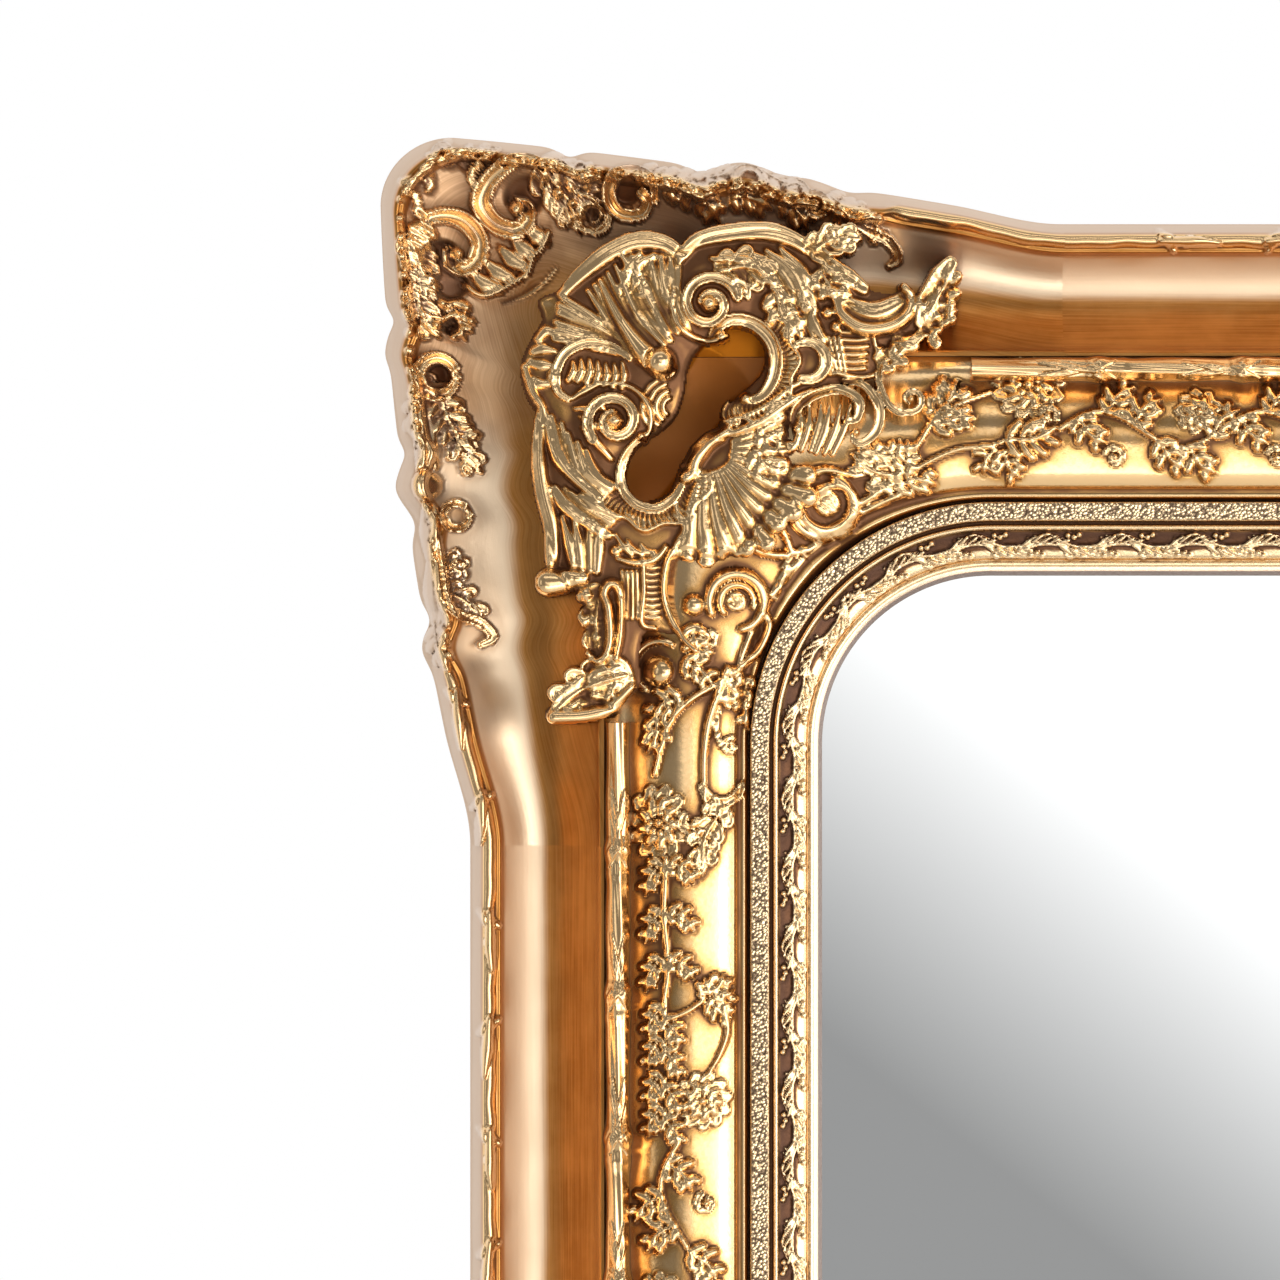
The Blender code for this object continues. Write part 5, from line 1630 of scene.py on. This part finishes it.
def vine_top() -> list[Stroke]:
    """Returns the vine on the top panel beyond the corner."""
    strokes = stem(
        [(-39, 48), (-46, 53), (-57, 59), (-68, 63), (-82, 64.5), (-90, 67), (-97, 72)], 1.5, 4.4)
    strokes += stem([(-38, 48), (-44, 59), (-50, 70), (-56, 79), (-68, 86), (-84, 92)], 1.5, 4.4)
    strokes += flower((-102.5, 96), 17.5, 4.6, 13)
    strokes += leaf((-54, 79), (-67, 97), 2, 9, 4.6, 5) + leaf((-56, 74), (-75, 79), -2, 6, 4.4, 5)
    strokes += leaf((-38, 50), (-15, 59), -3, 7.5, 4.8, 5) + leaf((-40, 52), (-42, 67), 1, 5.5, 4.6, 4)
    strokes += leaf((-37, 44), (-55, 46), -3, 6.5, 4.6, 5)
    strokes += leaf((-86, 63), (-80, 51), 2, 6.5, 4.6, 4) + leaf((-90, 62), (-98, 49), 2, 6.5, 4.6, 4)
    strokes += leaf((-92, 68), (-116, 74), 3, 9, 5, 7) + volute((-112, 80), 5, 200, -1.2, 1.7, 5.2)
    return strokes + garland(-118, -280, True)


def vine_side() -> list[Stroke]:
    """Returns the vine on the side panel beyond the corner."""
    strokes = flower((83, -124), 14.5, 5, 11, 1.28)
    strokes += stem([(79, -142), (80, -170), (78, -196), (80, -214), (79, -232)], 1.7, 5.2)
    strokes += band(
        [(61, -106), (57, -112), (50, -114), (43, -110), (41, -105)], [2, 3.4, 2.6, 1.8], 5,
        SCROLL)
    strokes += band(
        [(54, -113), (56, -121), (64, -127), (71, -125), (70, -120)], [2.2, 3.2, 2.8, 1.8], 5.2,
        SCROLL)
    strokes += leaf((51, -117), (61, -150), 4, 6.5, 5.2, 6)
    strokes += band([(62, -128), (60, -138), (65, -147), (70, -144)], [1.8, 2.8, 1.8], 5, SCROLL)
    for at in (-152, -176, -200):
        strokes += leaf((82, at + 8), (89, at - 8), 2, 4.6, 4.6, 4) + leaf(
            (77, at + 8), (65, at - 2), -2, 4.8, 4.8, 4)
    strokes += stem([(78, -222), (68, -218), (58, -212), (50, -214)], 1.5, 4.4)
    for tip in ((45, -208), (50, -200), (60, -202), (46, -222)):
        strokes += leaf((57, -213), tip, 1, 5.5, 4.4, 4)
    strokes += stem([(50, -216), (48, -228), (52, -240), (58, -250)], 1.5, 4.4)
    strokes += flower((60.5, -263), 13.5, 4.8, 11)
    for at in (-224, -240, -258, -274):
        strokes += leaf((82, at + 8), (88, at - 7), 2, 4.4, 4.6, 4) + leaf(
            (80, at + 2), (73, at - 12), -2, 4.6, 4.6, 4)
    return strokes + garland(-284, -730, False)


def garland(first: float, last: float, across_top: bool) -> list[Stroke]:
    """Returns the vine that waves along a panel to a flower at the middle of the side."""
    strokes: list[Stroke] = []
    period = 96.0
    count = max(1, round((first - last) / period))
    period = (first - last) / count
    for index in range(count):
        start = first - index * period
        wave = [(73 + 9 * math.sin(2 * math.pi * step / 8), start - period * step / 8) for step in range(9)]
        strokes += stem(wave, 1.7, 4.8)
        for share, side in ((0.12, -1), (0.30, 1), (0.46, 1), (0.62, -1), (0.80, -1), (0.94, 1)):
            root = (73 + 9 * math.sin(2 * math.pi * share), start - period * share)
            strokes += leaf(root, (root[0] + side * 13, root[1] - 13), 2.5 * side, 6.5, 4.6, 5)
        strokes += volute((59, start - period * 0.34), 5.2, 60, -1.2, 1.6, 4.8)
        if index < count - 1:
            strokes += flower((62 if index % 2 else 82, start - period * 0.86), 10.5, 4.6, 9)
    strokes += flower((73, last), 13, 4.8, 11)
    if across_top:
        for stroke in strokes:
            stroke.path = stroke.path[:, ::-1]
    return strokes


# ---------------------------------------------------------------- glass, back and fittings


@dataclass(frozen=True)
class Granulated:
    """The liner: a bright band full of fine dark pits, a leafy band and a pale lip."""

    name: str = "gilt_liner"
    bright: tuple = (0.92, 0.68, 0.40)
    middle: tuple = (0.56, 0.29, 0.10)
    leafage: tuple = (0.13, 0.058, 0.026)
    dark: tuple = (0.075, 0.030, 0.014)

    def build(self) -> bpy.types.Material:
        """Builds the material."""
        graph = Graph(self.name)
        place = graph.coords()
        hollow = graph.value("hollow")
        sanded = graph.value("sanded")
        inputs = {"Vector": place, "Scale": 620.0}
        cells = graph.node("ShaderNodeTexVoronoi", {"feature": "F1"}, inputs, "Distance")
        fine = graph.noise(place, 500.0, 2.0)
        cloud = graph.noise(place, 60.0, 4.0)
        leafy = graph.value("leafy")
        grime_and_shade = (hollow + (cloud - 0.5) * 0.26 + leafy * 0.10).step(0.54, 0.84)
        pits = (cells * 0.8 + fine * 0.7).step(0.72, 0.88) * sanded
        body = graph.blend(self.middle, self.bright, (hollow + (fine - 0.5) * 0.2).step(0.56, 0.36))
        body = graph.blend(body, self.leafage, leafy * (hollow + (cloud - 0.5) * 0.5).step(0.33, 0.50))
        colour = graph.blend(body, self.dark, grime_and_shade * (1.0 - sanded) * 0.92)
        colour = graph.blend(colour, self.dark, pits * 0.85)
        height = (1.0 - cells) * sanded * 1.6 + fine * 0.4
        return graph.finish(
            Base_Color=colour, Metallic=0.97 - pits * 0.4 - grime_and_shade * (1.0 - sanded) * 0.3,
            Roughness=(fine - 0.5) * 0.2 + 0.26 + grime_and_shade * 0.2, Normal=graph.bump(height, 0.0006, 0.8))


def join_mesh(name: str, points: Sequence, faces: Sequence, material: bpy.types.Material) -> bpy.types.Object:
    """Makes a mesh object of points and faces in the room."""
    mesh = bpy.data.meshes.new(name)
    mesh.from_pydata([tuple(point) for point in points], [], [tuple(face) for face in faces])
    mesh.update(calc_edges=True)
    mesh.materials.append(material)
    obj = bpy.data.objects.new(name, mesh)
    bpy.context.scene.collection.objects.link(obj)
    return obj


def turned(name: str, centre: Array, axis: Array, steps: Sequence[Spot],
           material: bpy.types.Material, slot_width: float) -> bpy.types.Object:
    """Makes a slotted screw head from (radius, height) steps in mm along an axis."""
    sides = 20
    axis = np.array(axis) / np.linalg.norm(axis)
    first = np.cross(axis, [0, 0, 1.0] if abs(axis[2]) < 0.9 else [1.0, 0, 0])
    first /= np.linalg.norm(first)
    second = np.cross(axis, first)
    points, faces = [], []
    for radius, height in steps:
        for side in range(sides):
            turn = 2 * math.pi * side / sides
            x, y = radius * math.cos(turn), radius * math.sin(turn)
            drop = 0.55 if abs(y) < slot_width and radius < steps[0][0] * 0.8 else 0.0
            points.append(centre + MM * (x * first + y * second + (height - drop) * axis))
    for ring in range(len(steps) - 1):
        for side in range(sides):
            near = (side + 1) % sides
            here, there = ring * sides, (ring + 1) * sides
            faces.append((here + side, here + near, there + near, there + side))
    faces.append(tuple((len(steps) - 1) * sides + side for side in range(sides)))
    faces.append(tuple(reversed(range(sides))))
    obj = join_mesh(name, points, faces, material)
    for polygon in obj.data.polygons:
        polygon.use_smooth = len(polygon.vertices) == 4
    return obj


class Back:
    """Everything behind the mouldings: finishes, softened edges and screws on the plain parts."""

    MADE_OF = {"strainer": "strainer_pine", "frame_foot": "rubber", "leg_foot": "rubber", "leg_": "leg_wood",
               "backing": "backing_board", "hinge_frame": "brass", "hinge_leg": "brass",
               "hinge_pin": "steel", "stay_": "steel", "hanger_": "brass"}

    # Radius and height of each step of a screw head, in mm.
    SCREW_HEAD = ((3.0, -0.4), (3.0, 0.15), (2.6, 0.7), (1.6, 1.05), (0.8, 1.15), (0.05, 1.2))

    def __init__(self, finishes: dict, nodes: dict) -> None:
        """Keeps the finishes and the nodes."""
        self.finishes = finishes
        self.nodes = nodes

    def dress(self) -> None:
        """Gives each plain part its finish and a softened edge."""
        for name, obj in self.nodes.items():
            slot = next((slot for key, slot in self.MADE_OF.items() if name.startswith(key)), None)
            if slot is None:
                continue
            obj.data.materials.clear()
            obj.data.materials.append(self.finishes[self.finish_for(name, slot)])
            edges = obj.modifiers.new("edges", "BEVEL")
            edges.width = 0.0012 if slot in ("strainer_pine", "leg_wood", "rubber") else 0.0004
            edges.segments = 3
            edges.limit_method = "ANGLE"
            edges.angle_limit = math.radians(35)
            edges.use_clamp_overlap = True

    def finish_for(self, name: str, slot: str) -> str:
        """Returns the finish whose grain runs along the part."""
        low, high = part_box(name)
        tall = high.z - low.z > high.x - low.x
        return slot + "_up" if tall and slot + "_up" in self.finishes else slot

    def screws(self) -> None:
        """Puts screw heads on the hinge leaves, the stay bracket and the hanger plates."""
        spots = []
        for side in ("left", "right"):
            for node, shares in ((f"hinge_frame_leaf_{side}", ((0.2, 0.72), (0.5, 0.80), (0.8, 0.72))),
                                 (f"hanger_plate_{side}", ((0.5, 0.28), (0.5, 0.86)))):
                spots += [(node, share, "frame") for share in shares]
            leaf_shares = ((0.2, 0.28), (0.5, 0.2), (0.8, 0.28))
            spots += [(f"hinge_leg_leaf_{side}", share, "leg") for share in leaf_shares]
        spots += [("stay_bracket", share, "frame") for share in ((0.5, 0.14), (0.5, 0.88))]
        for index, (node, share, body) in enumerate(spots):
            place, normal = self.touch(node, share)
            if place is None:
                continue
            slot = "steel" if node == "stay_bracket" else "brass"
            head = turned(f"screw_{index:02d}", place, normal, self.SCREW_HEAD, self.finishes[slot], 0.45)
            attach(head, body)

    def touch(self, node: str, share: Spot) -> tuple:
        """Returns where a line from behind meets a node, at shares of its box, and the normal there."""
        low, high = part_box(node)
        start = Vector((
            low.x + (high.x - low.x) * share[0], high.y + 0.3, low.z + (high.z - low.z) * share[1]))
        hit, place, normal, _ = self.nodes[node].ray_cast(start, Vector((0, -1, 0)))
        return (np.array(place), np.array(normal)) if hit else (None, None)


def lay_glass(stance: Stance, finish: bpy.types.Material) -> None:
    """Makes the glass plate with its ground edge."""
    wide, high, thick, ease = stance.half_wide + 6.8, stance.half_high + 6.8, 2.4, 1.0
    rings = [
        (wide - 0.4, high - 0.4, -thick), (wide, high, -thick + 0.4), (wide, high, thick - ease),
        (wide - ease, high - ease, thick)]
    points = []
    for x, z, rise in rings:
        corners = np.array([(-x, -z), (x, -z), (x, z), (-x, z)], float)
        points += list(stance.place(corners[:, 0], corners[:, 1], np.full(4, stance.glass_rise + rise)))
    faces = [(0, 3, 2, 1), (12, 13, 14, 15)]
    for ring in range(3):
        for side in range(4):
            near = (side + 1) % 4
            faces.append((ring * 4 + side, ring * 4 + near, ring * 4 + 4 + near, ring * 4 + 4 + side))
    glass = join_mesh("glass_plate", points, faces, finish)
    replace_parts(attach(glass, "frame"), "mirror_glass")


# ---------------------------------------------------------------- the room


class Studio:
    """Pale floor, white surround, soft lights and the camera square to the glass."""

    # The view: how far beside and below the corner of the glass it is aimed, in mm, and its size in metres.
    ASIDE = 92.0
    BELOW = 32.5
    FRONT_RISE = 0.05
    SEEN_WIDTH = 0.64
    # Soft lights: place and target from the middle of the glass, size, brightness and colour.
    LIGHTS = {
        "key": ((2.3, 0.1, 2.0), (-0.2, 0.5, 0.0), (1.6, 2.4), 3.4, (1.0, 0.985, 0.96)),
        "fill": ((1.25, 0.2, 2.3), (-0.3, 0.5, 0.0), (0.9, 2.0), 2.0, (1.0, 1.0, 1.0)),
        "side": ((2.9, 0.3, 0.5), (-0.3, 0.5, 0.0), (1.2, 2.4), 2.0, (1.0, 1.0, 1.0)),
        "low": ((0.2, -0.75, 2.2), (-0.2, 0.6, 0.0), (2.6, 1.0), 2.0, (1.0, 1.0, 1.0)),
        "left": ((-2.6, 0.9, 1.3), (-0.3, 0.6, 0.0), (0.5, 1.6), 0.9, (1.0, 1.0, 1.0)),
        "top": ((-0.3, 2.3, 1.2), (-0.3, 0.8, 0.0), (1.6, 0.4), 1.4, (1.0, 1.0, 1.0)),
    }

    def __init__(self, stance: Stance) -> None:
        """Keeps the stance and its axes."""
        self.stance = stance
        self.front = Vector(stance.front)
        self.up = Vector(stance.up)
        self.middle = Vector(stance.middle)

    def aim(self, obj: bpy.types.Object, place: Vector, target: Vector, up: Vector) -> None:
        """Puts a camera or light at a place and turns it to look at a point."""
        obj.location = place
        obj.rotation_euler = self.facing(target - place, up)

    def facing(self, ahead: Vector, up: Vector) -> Euler:
        """Returns the rotation that looks along a line."""
        back = -ahead.normalized()
        side = up.cross(back).normalized()
        return Matrix((side, back.cross(side), back)).transposed().to_euler()

    def spot(self, right: float, up: float, away: float) -> Vector:
        """Returns a point measured from the middle of the glass along its own axes, in metres."""
        return self.middle + Vector((right, 0, 0)) + self.up * up + self.front * away

    def camera(self) -> None:
        """Places the camera square to the glass, in front of the top left corner."""
        data = bpy.data.cameras.new("camera")
        camera = bpy.data.objects.new("camera", data)
        bpy.context.scene.collection.objects.link(camera)
        right = -(self.stance.half_wide + self.ASIDE) * MM
        up = (self.stance.half_high - self.BELOW) * MM
        distance = 4.5
        self.aim(camera, self.spot(right, up, distance), self.spot(right, up, 0.0), self.up)
        data.sensor_width = 36.0
        data.lens = data.sensor_width * (distance - self.FRONT_RISE) / self.SEEN_WIDTH
        data.clip_end = 100.0
        bpy.context.scene.camera = camera

    def lights(self) -> None:
        """Hangs the softboxes."""
        for name, (place, target, size, radiance, colour) in self.LIGHTS.items():
            data = bpy.data.lights.new(name, "AREA")
            data.shape = "RECTANGLE"
            data.size, data.size_y = size
            data.energy = radiance * math.pi * size[0] * size[1]
            data.color = colour
            light = bpy.data.objects.new(name, data)
            bpy.context.scene.collection.objects.link(light)
            light.visible_camera = False
            self.aim(light, self.spot(*place), self.spot(*target), Vector((0, 0, 1)))

    def card(self) -> None:
        """Hangs the large graded screen that the glass mirrors."""
        graph = Graph("screen")
        place = graph.coords()
        across = graph.node("ShaderNodeSeparateXYZ", {}, {0: place}, "X")
        tall = graph.node("ShaderNodeSeparateXYZ", {}, {0: place}, "Y")
        shade = across * 0.714 + tall * 0.938 + 1.276
        limited = graph.node("ShaderNodeClamp", {}, {"Value": shade, "Min": 0.575, "Max": 1.0})
        graph.finish(Base_Color=(0.0, 0.0, 0.0), Roughness=1.0, Emission_Strength=1.12,
                     Emission_Color=graph.blend((0.0, 0.0, 0.0), (1.0, 1.0, 1.0), limited**2.2))
        corners = [(-1.7, -1.5, 0), (1.7, -1.5, 0), (1.7, 1.5, 0), (-1.7, 1.5, 0)]
        card = join_mesh("screen", corners, [(0, 1, 2, 3)], graph.material)
        card.location = self.spot(0.45, 0.55, 4.9)
        card.rotation_euler = self.facing(-self.front, self.up)

    def floor(self) -> None:
        """Lays the pale floor."""
        pale, shade = (0.80, 0.79, 0.77), (0.76, 0.75, 0.73)
        finish = Plain("floor", pale, shade, 0.55, scale=14.0, relief=0.0002).build()
        corners = [(-4, -5, 0), (4, -5, 0), (4, 2.5, 0), (-4, 2.5, 0)]
        join_mesh("floor", corners, [(0, 1, 2, 3)], finish)

    def world(self) -> None:
        """Makes the surround white behind the mirror and dim in front of it."""
        world = bpy.data.worlds.new("surround")
        bpy.context.scene.world = world
        world.use_nodes = True
        tree = world.node_tree
        back = tree.nodes["Background"]
        place = tree.nodes.new("ShaderNodeTexCoord")
        parts = tree.nodes.new("ShaderNodeSeparateXYZ")
        ramp = tree.nodes.new("ShaderNodeMapRange")
        ramp.interpolation_type = "SMOOTHSTEP"
        ramp.inputs["From Min"].default_value = -0.12
        ramp.inputs["From Max"].default_value = 0.26
        blend = tree.nodes.new("ShaderNodeMix")
        blend.data_type = "RGBA"
        blend.inputs[6].default_value = (0.24, 0.24, 0.24, 1.0)
        blend.inputs[7].default_value = (1.0, 1.0, 1.0, 1.0)
        tree.links.new(place.outputs["Generated"], parts.inputs[0])
        tree.links.new(parts.outputs["Y"], ramp.inputs["Value"])
        tree.links.new(ramp.outputs[0], blend.inputs[0])
        tree.links.new(blend.outputs[2], back.inputs["Color"])

    def build(self) -> None:
        """Sets up the room."""
        self.world()
        self.floor()
        self.card()
        self.lights()
        self.camera()
        bpy.context.scene.view_settings.view_transform = "Standard"


# ---------------------------------------------------------------- putting it together


def finishes() -> dict[str, bpy.types.Material]:
    """Builds every finish once."""
    pine = ((0.62, 0.43, 0.24), (0.47, 0.30, 0.15), 0.62)
    walnut = ((0.20, 0.105, 0.05), (0.09, 0.045, 0.022), 0.42)
    made = [
        Plain("strainer_pine", *pine, grain=(0.06, 1.0, 1.0)),
        Plain("strainer_pine_up", *pine, grain=(1.0, 1.0, 0.06)),
        Plain("leg_wood", *walnut, grain=(0.06, 1.0, 1.0), coat=0.3),
        Plain("leg_wood_up", *walnut, grain=(1.0, 1.0, 0.06), coat=0.3),
        Plain("backing_board", (0.36, 0.23, 0.13), (0.28, 0.17, 0.09), 0.85, scale=420.0),
        Plain("brass", (0.78, 0.56, 0.24), (0.55, 0.36, 0.13), 0.28, 1.0, scale=260.0, relief=0.00005),
        Plain("steel", (0.55, 0.55, 0.54), (0.38, 0.37, 0.36), 0.33, 1.0, scale=300.0, relief=0.00005),
        Plain("rubber", (0.035, 0.035, 0.036), (0.02, 0.02, 0.02), 0.8, scale=600.0),
    ]
    table = {item.name: item.build() for item in made}
    for item in (Gilding(), Cove(), Granulated(), Silvering()):
        table[item.name] = item.build()
    return table


CORNERS = {"top_left": (-1, 1), "top_right": (1, 1), "bottom_left": (-1, -1), "bottom_right": (1, -1)}


def mirrored(sheet: Sheet, name: str) -> list[tuple[Sheet, int, int]]:
    """Returns the two mirrored halves that make up one side of the frame."""
    if name in ("left", "right"):
        side = -1 if name == "left" else 1
        return [(sheet, side, 1), (sheet, side, -1)]
    end = 1 if name == "top" else -1
    return [(sheet, -1, end), (sheet, 1, end)]


def main() -> None:
    """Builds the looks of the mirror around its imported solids."""
    logging.basicConfig(level=logging.INFO, format="%(message)s")
    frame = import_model()
    stance = Stance(frame)
    table = finishes()
    gilt = [table["gilt_carving"]]
    cove = [table["gilt_cove"], table["strainer_pine"]]
    outer = OuterMoulding()
    corner = outer.corner(corner_carving())
    cartouche = Cartouche().sheet()
    for name, place in CORNERS.items():
        lay("carved_corner_" + name, stance, [(corner, *place)], cove, "outer_corner_" + name)
        piece = [(cartouche, *place)]
        lay("carved_cartouche_" + name, stance, piece, gilt, "cartouche_" + name)
    sides = (False, stance.half_high, PLAN.side_sweep, ("left", "right"))
    ends = (True, stance.half_wide, PLAN.top_sweep, ("top", "bottom"))
    for across_top, half, sweep, names in (sides, ends):
        inner = InnerMoulding(half, across_top)
        vine = [*vine_near_corner(), *(vine_top() if across_top else vine_side())]
        rail = outer.rail(half, sweep, rim_knots(-130, -700, across_top), across_top)
        layers = (
            ("rail", rail, cove, "outer_rail_", "gilt_rail"),
            ("panel", inner.panel(vine), gilt, "panel_", "gilt_carving"),
            ("stick", inner.stick(), gilt, "stick_", "gilt_carving"),
            ("liner", inner.liner(), [table["gilt_liner"]], "liner_", "gilt_liner"),
        )
        for name in names:
            for layer, sheet, materials, node, slot in layers:
                lay(f"carved_{layer}_{name}", stance, mirrored(sheet, name), materials, node + name)
    lay_glass(stance, table["silvered_glass"])
    back = Back(table, frame["nodes"])
    back.dress()
    back.screws()
    Studio(stance).build()


if __name__ == "__main__":
    main()
